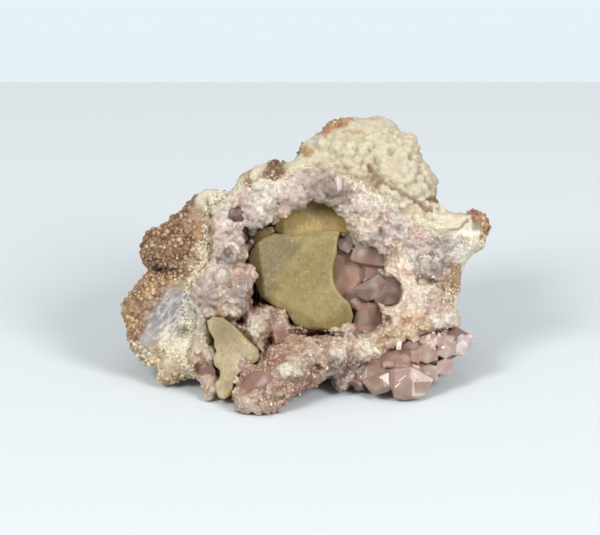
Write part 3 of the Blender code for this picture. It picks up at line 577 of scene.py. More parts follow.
def knob_heights(uvw, draw):
    """Rounded knobs over the chalcedony, in mm: each is a cap of a ball."""
    u, v, w = uvw.T
    knobby = ease((u - 4) / 10) * ease((42 - v) / 6) * ease((v - 14) / 6) * (u < 44)
    weights = knobby * (w > -40) * (edge_distance(uvw) > 1.5)
    picks = draw.choice(len(uvw), MORE_KNOBS, replace=False, p=weights / weights.sum())
    centres = [uvw[k] for k in picks]
    radii = list(draw.uniform(*KNOB_RADII, MORE_KNOBS))
    for ku, kv, radius in KNOBS:
        near = np.hypot(u - ku, v - kv) < 1.0
        if near.any():
            centres.append(uvw[near][w[near].argmax()])
            radii.append(radius)
    heights = np.zeros(len(uvw))
    for centre, radius in zip(centres, radii):
        away = ((uvw - centre) ** 2).sum(axis=1)
        cap = KNOB_RISE * np.sqrt(np.clip(radius**2 - away, 0, None))
        heights = np.maximum(heights, cap)
    return heights


def rock_look(uvw):
    """For each place of the rock: its high and low colours, and how rough it is."""
    moved = wandering(wandering(uvw, 0.16, 3.2), 0.55, 0.9)
    shares = shares_of(moved, ROCK_ZONES)
    high = shares @ zone_colours(ROCK_ZONES, ROCK_COLOURS, 0)
    low = shares @ zone_colours(ROCK_ZONES, ROCK_COLOURS, 1)
    rough = shares @ np.array([zone[4] for zone in ROCK_ZONES])
    back = ease((-15 - moved[:, 2]) / 7)
    pale = np.array([noise.fractal(Vector(p) * 0.10, 0.7, 2.1, 5) for p in uvw])
    pale = ease((pale + 0.15) / 0.55)[:, None]
    dome = ease((moved[:, 1] - 16) / 8) * ease(moved[:, 0] / 8) * ease(-moved[:, 2] / 30)
    back = (back * (1 - dome * ease((moved[:, 2] + 40) / 12)))[:, None]
    far_high, far_low = (mixed(linear(a), linear(b), pale) for a, b in zip(ROCK_BACK, ROCK_PALE))
    rough = mixed(rough, 0.95 - 0.3 * pale[:, 0], back[:, 0])
    return mixed(high, far_high, back), mixed(low, far_low, back), rough


def crease_share(uvw):
    """One on the line of a crease of the rock, zero beyond its half width."""
    share = np.zeros(len(uvw))
    moved = wandering(uvw, 0.4, 0.7)
    for *ends, half in CREASES:
        share = np.maximum(share, 1 - segment_distance(moved, *ends) / half)
    return share


def rock_heights(uvw, rough):
    """Pits, lumps and crumbs of the rock, in mm."""
    heights = np.empty(len(uvw))
    for k, p in enumerate(uvw):
        q = Vector(p)
        pits = noise.voronoi(q * 0.42)[0]
        crumbs = noise.voronoi(q * 0.85)[0]
        lump = noise.fractal(q * 0.30, 1.0, 2.1, 4)
        crumb = 0.9 * lump - 2.2 * max(0.0, 0.34 - pits[0]) + 1.1 * (pits[1] - pits[0] - 0.25)
        crumb += 0.9 * (0.42 - crumbs[0])
        heights[k] = rough[k] * crumb + (1 - rough[k]) * 0.42 * lump
    return heights


def make_wall(draw):
    """The rock wall with its relief; also returns how rough it is at each vertex."""
    thing = remeshed(copy_of_node("geode_wall", "rock_wall"), 0.6, 12)
    uvw = face_frame(points_of(thing))
    high, low, rough = rock_look(uvw)
    crumbs = rock_heights(uvw, rough)
    knobs = knob_heights(uvw, draw) * (1 - ease(rough * 1.6 - 0.4))
    heights = crumbs + knobs
    # Painted shade: the low colour in the hollows between the crumbs and, on the dome, between the
    # knobs
    depth = np.clip(0.45 - crumbs * 0.9, 0, 1) * (0.3 + 0.7 * rough)
    crease = ease(1 - knobs / 0.6) * 0.8 * ease((uvw[:, 0] - 8) / 10) * (uvw[:, 1] > 16)
    crease *= ease((46 - uvw[:, 1]) / 12)
    depth = np.maximum(depth, crease * (1 - rough))[:, None]
    colours = agate_streaks(uvw, mixed(high, low, depth))
    line = crease_share(uvw) * (uvw[:, 2] > -30)
    heights -= 0.9 * ease(line)
    # Painted shade along the creases
    shade = (ease(line * 1.6) * 0.75)[:, None]
    heights[points_of(thing)[:, 2] < 0.35 * MM] = 0
    raised(thing, heights)
    kept_off_floor(thing)
    tint(thing, mixed(colours, CREASE_SHADE_COLOUR, shade))
    join_piece(thing, ROCK, "host_rock", "geode_wall")
    return thing, rough


def agate_streaks(uvw, colours):
    """Blue-grey streaks over the patch of agate at the lower left of the face."""
    patch = ease(1.5 - np.hypot((uvw[:, 0] + 39) / 8, (uvw[:, 1] + 14) / 7.5)) * (uvw[:, 2] > -13)
    for k in np.nonzero(patch > 0.01)[0]:
        u, v, w = uvw[k]
        along, across = (u + 1.3 * v) * 0.24, (v - 1.3 * u) * 0.85
        streak = noise.fractal(Vector((along, across, w * 0.2)), 0.8, 2.2, 4)
        share = patch[k] * ease(np.array(0.42 + 1.8 * streak)) * 0.65
        pale = patch[k] * ease(np.array(-1.8 * streak)) * 0.5
        colours[k] = mixed(mixed(colours[k], AGATE_STREAK, share), AGATE_PALE, pale)
    return colours


def make_crumbs(wall, rough, draw):
    """Loose-looking crumbs and nodules of rock over the brown lumps."""
    points, normals = points_of(wall), normals_of(wall)
    uvw = face_frame(points)
    weights = ease((rough - 0.5) / 0.3) * (points[:, 2] > 1.5 * MM)
    weights = weights * (1 - 0.62 * ease((-20 - uvw[:, 2]) / 8))
    count = CRUMB_COUNT
    picks = draw.choice(len(points), count, replace=False, p=weights / weights.sum())
    high, low, _ = rock_look(uvw[picks])
    radii = draw.uniform(0.3, 0.95, count) ** 1.4
    share = (draw.random((count, 1)) ** 1.4) * 0.75
    colours = mixed(high, low, share) * draw.uniform(0.80, 1.45, (count, 1))
    pale = draw.random(count) < 0.09
    colours[pale] = mixed(colours[pale], PALE_CRUMB, 0.5)
    shape = bmesh.new()
    bmesh.ops.create_icosphere(shape, subdivisions=1, radius=1.0)
    ball = np.array([tuple(v.co) for v in shape.verts])
    ball_faces = [tuple(v.index for v in f.verts) for f in shape.faces]
    shape.free()
    n = len(ball)
    local = ball[None] * draw.uniform(0.65, 1.2, (count, n, 1)) * radii[:, None, None]
    frames = frames_towards(normals[picks], draw.random(count) * 2 * math.pi)
    local[:, :, 2] *= 0.8
    corners = np.einsum("nij,nkj->nki", frames, local) * MM
    corners += (points[picks] + normals[picks] * (radii * 0.1 * MM)[:, None])[:, None]
    faces = [tuple(k * n + i for i in f) for k in range(count) for f in ball_faces]
    thing = new_object("rock_crumbs", corners.reshape(-1, 3), faces)
    kept_off_floor(thing)
    thing.data.shade_smooth()
    tint(thing, np.repeat(colours, n, axis=0))
    join_piece(thing, ROCK, "host_rock")


# ---------------------------------------------------------------- druse

FROST = linear("e2dfd3")
# Painted shade: the share of red, green and blue taken from the druse's colour in its low places
SHADE_LOSS_WHERE_LOW = np.array([0.24, 0.48, 0.52])  # of red, green and blue


def druse_colours(uvw, draw=None):
    """Colour and range of crystal radii at each place, with a seeded change for each crystal."""
    moved = wandering(uvw, 0.2, 2.4)
    shares = shares_of(moved, DRUSE_ZONES)
    one = shares @ zone_colours(DRUSE_ZONES, DRUSE_COLOURS, 0)
    two = shares @ zone_colours(DRUSE_ZONES, DRUSE_COLOURS, 1)
    if draw is None:
        colours = mixed(one, two, 0.6)
    else:
        colours = mixed(one, two, draw.random((len(uvw), 1)))
        colours *= 1 + 0.05 * draw.standard_normal((len(uvw), 1))
    deep = ease((DEEP_FROM - uvw[:, 2]) / (DEEP_FROM - DEEP_TO))[:, None]
    colours = mixed(colours, DEEP_COLOUR, deep)
    rock = shares_of(moved, ROCK_ZONES) @ zone_colours(ROCK_ZONES, ROCK_COLOURS, 0)
    rim = ease(1 + edge_distance(uvw) / 3.2) * ease((uvw[:, 1] + 30) / 6) * 0.75
    colours = mixed(colours, rock, rim[:, None])
    colours = mixed(colours, WINDOW_COLOUR, ease(within(moved, WINDOWS) * 2.5)[:, None])
    colours = mixed(colours, INNER_COLOUR, ease(within(uvw, INNER_CLEAR) * 4)[:, None])
    # Painted shade in the gaps between the clumps
    colours = mixed(colours, GAP_SHADE_COLOUR, ease(gap_share(uvw) * 1.6)[:, None])
    radii = shares @ np.array([(zone[4], zone[5]) for zone in DRUSE_ZONES])
    return colours, radii


def shaded(colours, level):
    """The colours pinker and deeper where the level is under a half, frosted where it is over. Where
    the level follows the relief of the crust, the deeper colour is painted shade in its low places
    and the frost on its raised places is partly real frost, partly painted light; where it follows
    noise, both are random tone.
    """
    down = np.clip(1 - 2 * level, 0, 1)[:, None]
    up = np.clip(2 * level - 1, 0, 1)[:, None]
    return mixed(colours * (1 - down * SHADE_LOSS_WHERE_LOW), FROST, 0.65 * up)


def rough_bed():
    """The crust with its clumps, its gaps and the clear place for the large inner points.

    Also returns a level for each vertex: over a half where it stands out, less where it is low."""
    thing = remeshed(copy_of_node("amethyst_crust", "druse_bed"), 0.6, 3)
    points = points_of(thing)
    uvw = face_frame(points)
    sugary = ease((-12 - uvw[:, 1]) / 6)
    heights = np.empty(len(points))
    for k, p in enumerate(uvw):
        q = Vector(p)
        wide = noise.voronoi(q * 0.2 + noise_at(q * 0.3) * 0.35)[0]
        big = noise.voronoi(q * 0.42)[0]
        heights[k] = (0.6 + 1.5 * sugary[k]) * (0.5 - wide[0]) + 0.8 * (0.5 - big[0])
    heights *= 1 - 0.9 * smooth_share(uvw)
    ragged = wandering(wandering(uvw, 0.28, 2.4), 0.8, 0.8)
    for u, v, a, b, turn, height in LUMPS:
        lump = within(ragged, [(u, v, a, b, turn)])
        heights += 0.7 * height * ease(lump * 1.6) * (uvw[:, 2] > -14)
    low = ease((points[:, 2] / MM - 0.4) / 1.0)
    raised(thing, heights * low)
    front = np.clip(normals_of(thing) @ FRONT * 2, 0, 1)
    push = GAP_DEPTH * ease(gap_share(uvw) * 1.5) * front * low
    for u, v, a, b, _ in INNER_CLEAR:
        away = np.hypot((uvw[:, 0] - u) / a, (uvw[:, 1] - v) / b)
        push = np.maximum(push, np.clip(uvw[:, 2] + 8.5, 0, 9) * ease((1.1 - away) / 0.15))
    put_points(thing, points_of(thing) - FRONT * push[:, None] * MM)
    return thing, 0.48 + 0.20 * np.clip(heights - 0.35, -1, 2)


def smooth_share(uvw):
    """One on the smooth crystal faces that carry no druse."""
    return ease(np.maximum(within(uvw, WINDOWS), within(uvw, INNER_CLEAR)) * 3)


def tones(uvw):
    """Wide soft changes from deeper to paler druse, about -0.2 to 0.2."""
    return 0.42 * (noise_over(uvw, 0.15) + 0.4 * noise_over(uvw, 0.5))


def make_bed(draw):
    """The crust and its larger crystals, grown together into one crumbly surface.

    Returns the places and normals where grains may stand, and the trees of the other nodes."""
    rough, relief = rough_bed()
    others = [tree_of(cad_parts[k]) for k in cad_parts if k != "amethyst_crust"]
    points, normals = points_of(rough), normals_of(rough)
    uvw = face_frame(points)
    level = relief + tones(uvw) * (1 - smooth_share(uvw))
    # Painted shade and light: the crust deeper and pinker in its low places, paler and frosted on
    # its raised clumps, with random tone over it
    colours = shaded(druse_colours(uvw)[0] * 0.86, level)
    parts = [(points, faces_of(rough), colours)]
    free = ~covered(points, normals, others) & (points[:, 2] >= 0.8 * MM)
    parts += larger_crystals(points, normals, level, free, draw)
    bpy.data.objects.remove(rough)
    thing, tree, face_colours = fused("druse_bed", parts, BED_MESH)
    points, normals = points_of(thing), normals_of(thing)
    uvw = face_frame(points)
    hidden = covered(points, normals, others) | (uvw[:, 2] < BED_BACK) | inside(points, others)
    colours = nearest_colours(points, tree, face_colours)
    smooth = smooth_share(uvw)
    heights = np.empty(len(points))
    for k, p in enumerate(uvw):
        small = noise.voronoi(Vector(p) * 0.8, distance_metric="MANHATTAN")[0]
        heights[k] = 0.5 - small[0]
    coarse = ease((druse_colours(uvw)[1][:, 1] - 1.0) / 0.3)
    heights *= (1 - 0.95 * smooth) * (1 - 0.65 * coarse) * 0.48
    low = ease((points[:, 2] / MM - 0.4) / 1.0)
    raised(thing, heights * low)
    kept_off_floor(thing)
    # Painted light on the raised bits of the fine relief, painted shade in its hollows
    relief_light_and_shade = 1 + 0.16 * np.clip(heights / 0.5, -1, 1)
    tint(thing, colours * relief_light_and_shade[:, None])
    places = points_of(thing)[~hidden], normals_of(thing)[~hidden]
    thinned_where(thing, hidden, BED_TRIANGLES)
    join_piece(thing, BED, "pale_amethyst", "amethyst_crust")
    return places, others


def faces_of(thing):
    return [tuple(p.vertices) for p in thing.data.polygons]


def tree_of(thing):
    return BVHTree.FromPolygons([v.co for v in thing.data.vertices], faces_of(thing))


def frames_towards(aims, turns):
    """A turned frame for each aim, whose third column is the aim."""
    side = np.cross(aims, np.array([0.31, 0.77, 0.55]))
    side /= np.linalg.norm(side, axis=1, keepdims=True)
    other = np.cross(aims, side)
    c, s = np.cos(turns)[:, None], np.sin(turns)[:, None]
    return np.stack([side * c + other * s, other * c - side * s, aims], axis=2)


def crystal_shape(sides, rings):
    """Points and faces of a unit crystal from rings of radius and height, and a blunt top."""
    points = []
    for radius, height in rings:
        for k in range(sides):
            angle = 2 * math.pi * k / sides
            points.append((radius * math.cos(angle), radius * math.sin(angle), height))
    faces = []
    for ring in range(len(rings) - 1):
        for k in range(sides):
            n = (k + 1) % sides
            a, b = ring * sides, (ring + 1) * sides
            faces.append((a + k, a + n, b + n, b + k))
    points.append((0.06, -0.04, rings[-1][1] + rings[-1][0] * 0.5))
    top = (len(rings) - 1) * sides
    faces += [(top + k, top + (k + 1) % sides, len(points) - 1) for k in range(sides)]
    return np.array(points), faces


def crystals(spots, sizes, colours, shape, rim, draw):
    """Points, faces and colours of many crystals: each stands on its root, along its aim.

    spots holds roots in metres and aims; sizes holds radius, depth and tip height in mm. The
    rim brightens or darkens each of the shape's points."""
    roots, aims = spots
    radii, depths, tips = sizes
    points, faces = shape
    count, n = len(roots), len(points)
    frames = frames_towards(aims, draw.random(count) * 2 * math.pi)
    local = np.repeat(points[None], count, axis=0)
    local *= 1 + 0.07 * draw.standard_normal((count, n, 1))
    flat = 0.74 + 0.26 * draw.random(count)
    local[:, :, 0] *= radii[:, None]
    local[:, :, 1] *= (radii * flat)[:, None]
    up = local[:, :, 2] > 0
    heights = np.where(up, local[:, :, 2] * tips[:, None], local[:, :, 2] * depths[:, None])
    lean = draw.normal(0, 0.18, (count, 2)) * radii[:, None]
    local[:, :, 0] += np.where(up, lean[:, :1], 0) * (local[:, :, 2] > 0.5)
    local[:, :, 1] += np.where(up, lean[:, 1:], 0) * (local[:, :, 2] > 0.5)
    local[:, :, 2] = heights
    corners = np.einsum("nij,nkj->nki", frames, local) * MM + roots[:, None]
    corners[:, :, 2] = np.maximum(corners[:, :, 2], 0.2 * MM)
    every = [tuple(k * n + i for i in f) for k in range(count) for f in faces]
    gain, frost = np.array(rim).T
    shade = colours[:, None] * (gain * (1 - frost))[None, :, None] + FROST * frost[None, :, None]
    return corners.reshape(-1, 3), every, shade.reshape(-1, 3)


def crystals_piece(name, made):
    corners, faces, shades = made
    thing = new_object(name, corners, faces)
    tint(thing, shades)
    join_piece(thing, DRUSE, "pale_amethyst")


def gathered(parts):
    """The points of all the parts in one array, and their faces in one list."""
    starts = np.cumsum([0] + [len(part[0]) for part in parts])
    faces = [tuple(i + start for i in f) for start, part in zip(starts, parts) for f in part[1]]
    return np.concatenate([part[0] for part in parts]), faces


def fused(name, parts, size):
    """Parts of points, faces and colours grown together into one even surface.

    Also returns a tree of the parts and the colour of each of their faces."""
    corners, faces = gathered(parts)
    colours = np.concatenate([part[2] for part in parts])
    tree = BVHTree.FromPolygons([tuple(c) for c in corners], faces)
    thing = remeshed(new_object(name, corners, faces), size, 1)
    return thing, tree, np.array([colours[list(f)].mean(axis=0) for f in faces])


def nearest_colours(points, tree, face_colours):
    """The colour of the face that is nearest to each place."""
    return face_colours[[tree.find_nearest(Vector(p))[2] for p in points]]


def covered(points, normals, others):
    """True where a surface of the others lies just ahead of a place."""
    found = np.zeros(len(points), bool)
    for k, (p, n) in enumerate(zip(points, normals)):
        start, way = Vector(p), Vector(n)
        start -= way * 0.6 * MM
        found[k] = any(t.ray_cast(start, way, 2.0 * MM)[0] is not None for t in others)
    return found


def inside(points, others):
    """True for places more than 0.3 mm inside one of the others."""
    found = np.zeros(len(points), bool)
    for k, p in enumerate(points):
        here = Vector(p)
        for tree in others:
            nearest, normal, _, away = tree.find_nearest(here, 4 * MM)
            if nearest and away > 0.3 * MM and (here - nearest).dot(normal) < 0:
                found[k] = True
                break
    return found


def triangles_of(thing):
    return sum(len(p.vertices) - 2 for p in thing.data.polygons)


def thinned_where(thing, hidden, most):
    """The hidden part of the mesh made coarse, so that at most so many triangles are left."""
    group = thing.vertex_groups.new(name="hidden")
    group.add(np.nonzero(hidden)[0].tolist(), 1.0, "REPLACE")
    share = most / triangles_of(thing)
    modified(thing, "DECIMATE", ratio=share, vertex_group="hidden", vertex_group_factor=100.0)
    thing.vertex_groups.clear()


def thinned(picks, uvw, spacing):
    """Leaves out places closer than the spacing to one already kept, looking in nearby cells."""
    kept, cells = [], {}
    for k in picks:
        p, gap = uvw[k], spacing[k]
        cell = tuple(int(c // 2.5) for c in p)
        near = (
            other
            for du in (-1, 0, 1) for dv in (-1, 0, 1) for dw in (-1, 0, 1)
            for other in cells.get((cell[0] + du, cell[1] + dv, cell[2] + dw), ())
        )
        if all(((p - uvw[o]) ** 2).sum() > gap * gap for o in near):
            kept.append(k)
            cells.setdefault(cell, []).append(k)
    return np.array(kept)


FRINGE_PALE, FRINGE_DEEP = linear("ece4d2"), linear("ccbd9f")
# Unit crystals, and for each ring of them how bright it is and how frosted.
BULB = crystal_shape(6, [(0.80, -1.0), (1.0, -0.15), (0.97, 0.16), (0.66, 0.62), (0.26, 0.90)])
BULB_RIM = [(0.78, 0)] * 6 + [(0.88, 0.05)] * 6 + [(1, 0.22)] * 6 + [(1, 0.26)] * 6 + [(1, 0.05)] * 7
PANE = crystal_shape(6, [(0.80, -1.0), (1.0, -0.1), (0.98, 0.18), (0.74, 0.52), (0.52, 0.56)])
PANE_RIM = [(0.8, 0)] * 6 + [(0.9, 0.12)] * 6 + [(1, 0.3)] * 6 + [(1, 0.3)] * 6 + [(0.8, 0)] * 7
POINT = crystal_shape(6, [(0.82, -1.0), (1.0, 0.0), (0.16, 0.92)])
POINT_RIM = [(0.9, 0)] * 6 + [(1.0, 0.1)] * 6 + [(1.05, 0.35)] * 7
GRAIN = crystal_shape(5, [(0.9, -0.8), (1.0, 0.1)])
GRAIN_RIM = [(0.95, 0)] * 5 + [(1.0, 0.1)] * 5 + [(1.0, 0.3)]

BULB_COLOURS = {
    "pale": "b8a99f",
    "lilac": "a6958c",
    "grey": "917c71",
    "mauve": "846c61",
    "deep": "765e52",
}
# Large frosted bulbs on the rim: u, v, radius, colour, and 1 where its middle is a clear pane.
RIM_BULBS = [
    (-20.0, 11.6, 2.4, "grey", 0), (-19.0, 7.6, 2.1, "grey", 0), (-21.2, 4.4, 3.2, "mauve", 1),
    (-16.2, 5.0, 1.0, "lilac", 1), (-23.2, 8.6, 1.8, "lilac", 0), (-23.0, 18.0, 2.0, "pale", 0),
    (-16.3, -4.6, 2.8, "mauve", 0), (-23.4, -3.2, 3.2, "pale", 0), (-29.2, -4.4, 1.9, "grey", 0),
    (-19.8, -7.8, 2.4, "mauve", 0), (-18.0, -10.9, 2.8, "deep", 0), (-25.6, -7.8, 2.6, "grey", 0),
    (-23.2, -11.8, 2.2, "lilac", 0), (-28.0, -11.2, 2.2, "grey", 0), (-7.6, 15.6, 2.2, "mauve", 0),
    (-4.4, 17.8, 2.2, "grey", 0), (-9.6, 18.6, 2.0, "lilac", 0), (-14.0, 13.0, 1.8, "lilac", 0),
    (6.2, 21.6, 2.6, "deep", 0), (9.9, 23.8, 2.7, "mauve", 0), (8.7, 19.6, 2.1, "deep", 0),
    (3.8, 25.0, 2.2, "mauve", 0), (13.4, 23.0, 2.0, "mauve", 0), (7.4, 26.8, 2.0, "grey", 0),
    (2.6, 21.6, 2.0, "mauve", 0), (-1.8, 20.4, 2.0, "lilac", 0), (0.6, 18.3, 1.8, "deep", 0),
    (-3.2, 17.6, 1.6, "lilac", 0), (14.8, 20.8, 1.9, "grey", 0), (24.6, 5.6, 1.8, "lilac", 0),
    (22.2, 9.8, 1.9, "pale", 0), (26.6, 10.6, 2.0, "lilac", 0), (29.4, 12.2, 2.2, "lilac", 1),
    (33.8, 7.4, 2.0, "lilac", 0), (39.4, 4.2, 2.4, "mauve", 1), (43.6, 5.8, 2.2, "grey", 0),
    (36.4, 2.4, 2.0, "grey", 0), (41.4, 0.6, 2.2, "grey", 0), (46.2, 2.8, 2.0, "lilac", 0),
    (44.4, 8.8, 1.8, "lilac", 0),
]


def druse_grows(uvw):
    """True outside the gaps, the smooth faces and the places of the large inner points."""
    return (gap_share(uvw) < 0.25) & (within(uvw, WINDOWS) < 0.1) & (within(uvw, INNER_CLEAR) <= 0)


def leaned(normals, towards, jitter, draw):
    """The normals leaned towards the viewer and then each its own way."""
    lean = normals + FRONT * towards + draw.normal(0, jitter, normals.shape)
    return lean / np.linalg.norm(lean, axis=1, keepdims=True)


def rim_bulbs(points, normals, uvw, draw):
    """The named bulbs, each on the place of the crust that is nearest to it."""
    made = []
    for pane, shape, rim in ((0, BULB, BULB_RIM), (1, PANE, PANE_RIM)):
        rows = [row for row in RIM_BULBS if row[4] == pane]
        picks = []
        for u, v, *_ in rows:
            near = np.hypot(uvw[:, 0] - u, uvw[:, 1] - v) - 0.02 * uvw[:, 2]
            picks.append(int(near.argmin()))
        r = np.array([row[2] for row in rows])
        aims = leaned(normals[picks] * 0.6, 0.7, 0.12, draw)
        roots = points[picks] - aims * (r * 0.10 * MM)[:, None]
        colours = np.array([linear(BULB_COLOURS[row[3]]) for row in rows]) * BULB_GAIN
        made.append(crystals((roots, aims), (r, r * 1.2, r * 0.85), colours, shape, rim, draw))
    return made


def larger_crystals(points, normals, level, free, draw):
    """The named bulbs of the rim, then rounded and pointed crystals strewn over the crust."""
    points, normals, level = points[free], normals[free], level[free]
    uvw = face_frame(points)
    made = rim_bulbs(points, normals, uvw, draw)
    free = druse_grows(uvw)
    points, normals, uvw, level = points[free], normals[free], uvw[free], level[free]
    colours, ranges = druse_colours(uvw, draw)
    # The crystals take painted shade and light from the relief of the crust under them, as in shaded
    colours = shaded(colours * 0.9, level)
    coarse = ease((ranges[:, 1] - 1.0) / 0.3)
    outer = ease(-edge_distance(uvw) / 2.0) + (uvw[:, 1] < -25)
    facing = np.clip(normals @ FRONT + 0.35, 0.05, 1)
    order = draw.permutation(len(points))
    bulbs = [k for k in order if draw.random() < coarse[k] * outer[k] * (uvw[k, 2] > -14)]
    radii = 1.1 + 1.2 * draw.random(len(points)) ** 1.5
    bulbs = thinned(bulbs, uvw, radii * 1.4)[:BULB_COUNT]
    r = radii[bulbs]
    aims = leaned(normals[bulbs], 0.25, 0.25, draw)
    roots = points[bulbs] - aims * (r * 0.3 * MM)[:, None]
    high = r * draw.uniform(0.6, 0.9, len(bulbs))
    made.append(crystals((roots, aims), (r, r * 1.2, high), colours[bulbs], BULB, BULB_RIM, draw))

    count = POINT_COUNT
    weights = facing * np.where(outer > 0.3, 1.0, 0.6) * (0.25 + coarse)
    picks = draw.choice(len(points), count, replace=False, p=weights / weights.sum())
    low, top = ranges[picks].T
    r = low + (top - low) * draw.random(count) ** 1.8
    aims = leaned(normals[picks], 0.0, 0.35, draw)
    roots = points[picks] - normals[picks] * (r * 0.2 * MM)[:, None]
    high = r * draw.uniform(0.7, 1.3, count)
    made.append(crystals((roots, aims), (r, r, high), colours[picks], POINT, POINT_RIM, draw))
    return made


def make_grains(points, normals, others, draw):
    """Fine separate crystals on the druse, which catch the light one by one."""
    uvw = face_frame(points)
    facing = np.clip(normals @ FRONT + 0.35, 0.0, 1)
    free = druse_grows(uvw)
    free &= (uvw[:, 2] > -17) & (points[:, 2] > 0.8 * MM) & (facing > 0)
    points, normals, uvw, facing = points[free], normals[free], uvw[free], facing[free]
    colours, ranges = druse_colours(uvw, draw)
    colours = shaded(colours * 0.9, 0.55 + tones(uvw))
    coarse = ease((ranges[:, 1] - 1.0) / 0.3)
    weights = facing * (1.1 - coarse)
    picks = draw.choice(len(points), GRAIN_COUNT, replace=False, p=weights / weights.sum())
    picks = picks[~covered(points[picks], normals[picks], others)]
    count = len(picks)
    r = 0.22 + 0.26 * draw.random(count) ** 1.8
    aims = leaned(normals[picks], 0.0, 0.4, draw)
    roots = points[picks] - normals[picks] * (r * 0.3 * MM)[:, None]
    shades = colours[picks] * draw.uniform(0.98, 1.14, (count, 1))
    # Painted glints: about one grain in fourteen painted near white
    shades[draw.random(count) < 0.07] = FROST * 1.05
    high = r * draw.uniform(0.7, 1.3, count)
    made = crystals((roots, aims), (r, r * 1.4, high), shades, GRAIN, GRAIN_RIM, draw)
    crystals_piece("druse_grains", made)


def make_fringe(wall, draw):
    """Fine cream crystals on the rock along the druse's edge and on the agate."""
    points, normals = points_of(wall), normals_of(wall)
    uvw = face_frame(points)
    moved = wandering(uvw, 0.3, 2.0)
    edge = edge_distance(moved)
    weights = ease((3.6 - edge) / 3.0) * (edge > -0.5) * (uvw[:, 2] > -14)
    weights = weights * (1 - 0.94 * ease((uvw[:, 0] + 27) / 5) * ease((uvw[:, 1] + 12) / 8))
    weights = weights * (1 + 2.5 * (np.abs(edge) < 1.4))
    weights = weights + 0.5 * ease(within(moved, FRINGE_PATCHES) * 2)
    weights = weights * np.clip(normals @ FRONT, 0, 1) * (points[:, 2] > 1.5 * MM)
    picks = draw.choice(len(points), FRINGE_COUNT, p=weights / weights.sum())
    r = draw.uniform(0.22, 0.5, len(picks))
    aims = leaned(normals[picks], 0.1, 0.5, draw)
    cream = mixed(FRINGE_DEEP, FRINGE_PALE, draw.random((len(picks), 1)))
    colours = mixed(cream, rock_look(uvw[picks])[0], 0.5)
    roots = points[picks] + draw.normal(0, 0.2 * MM, (len(picks), 3))
    high = r * draw.uniform(0.7, 1.3, len(picks))
    made = crystals((roots, aims), (r, r * 1.3, high), colours, GRAIN, GRAIN_RIM, draw)
    crystals_piece("cream_fringe", made)


# ---------------------------------------------------------------- large points

# Where the large inner points stand, kept free of small crystals: u, v, half sizes, turn.
INNER_CLEAR = [
    (13.5, -2, 4.8, 9.5, 0), (19.6, 3.2, 5.8, 3.0, 0), (22.4, -6.2, 6.8, 4.2, 0),
    (20.0, -15.0, 4.6, 5.2, 0), (20.8, -1.2, 3.6, 2.6, 0), (13.4, 7.0, 2.8, 2.8, 0),
    (17, -9, 3, 3, 0), (26.8, -7.2, 4.0, 4.4, 0),
]

INNER_MESH = 0.28  # mm between the points of their mesh
INNER_BACK = -12.5  # w in mm, behind which they are out of sight
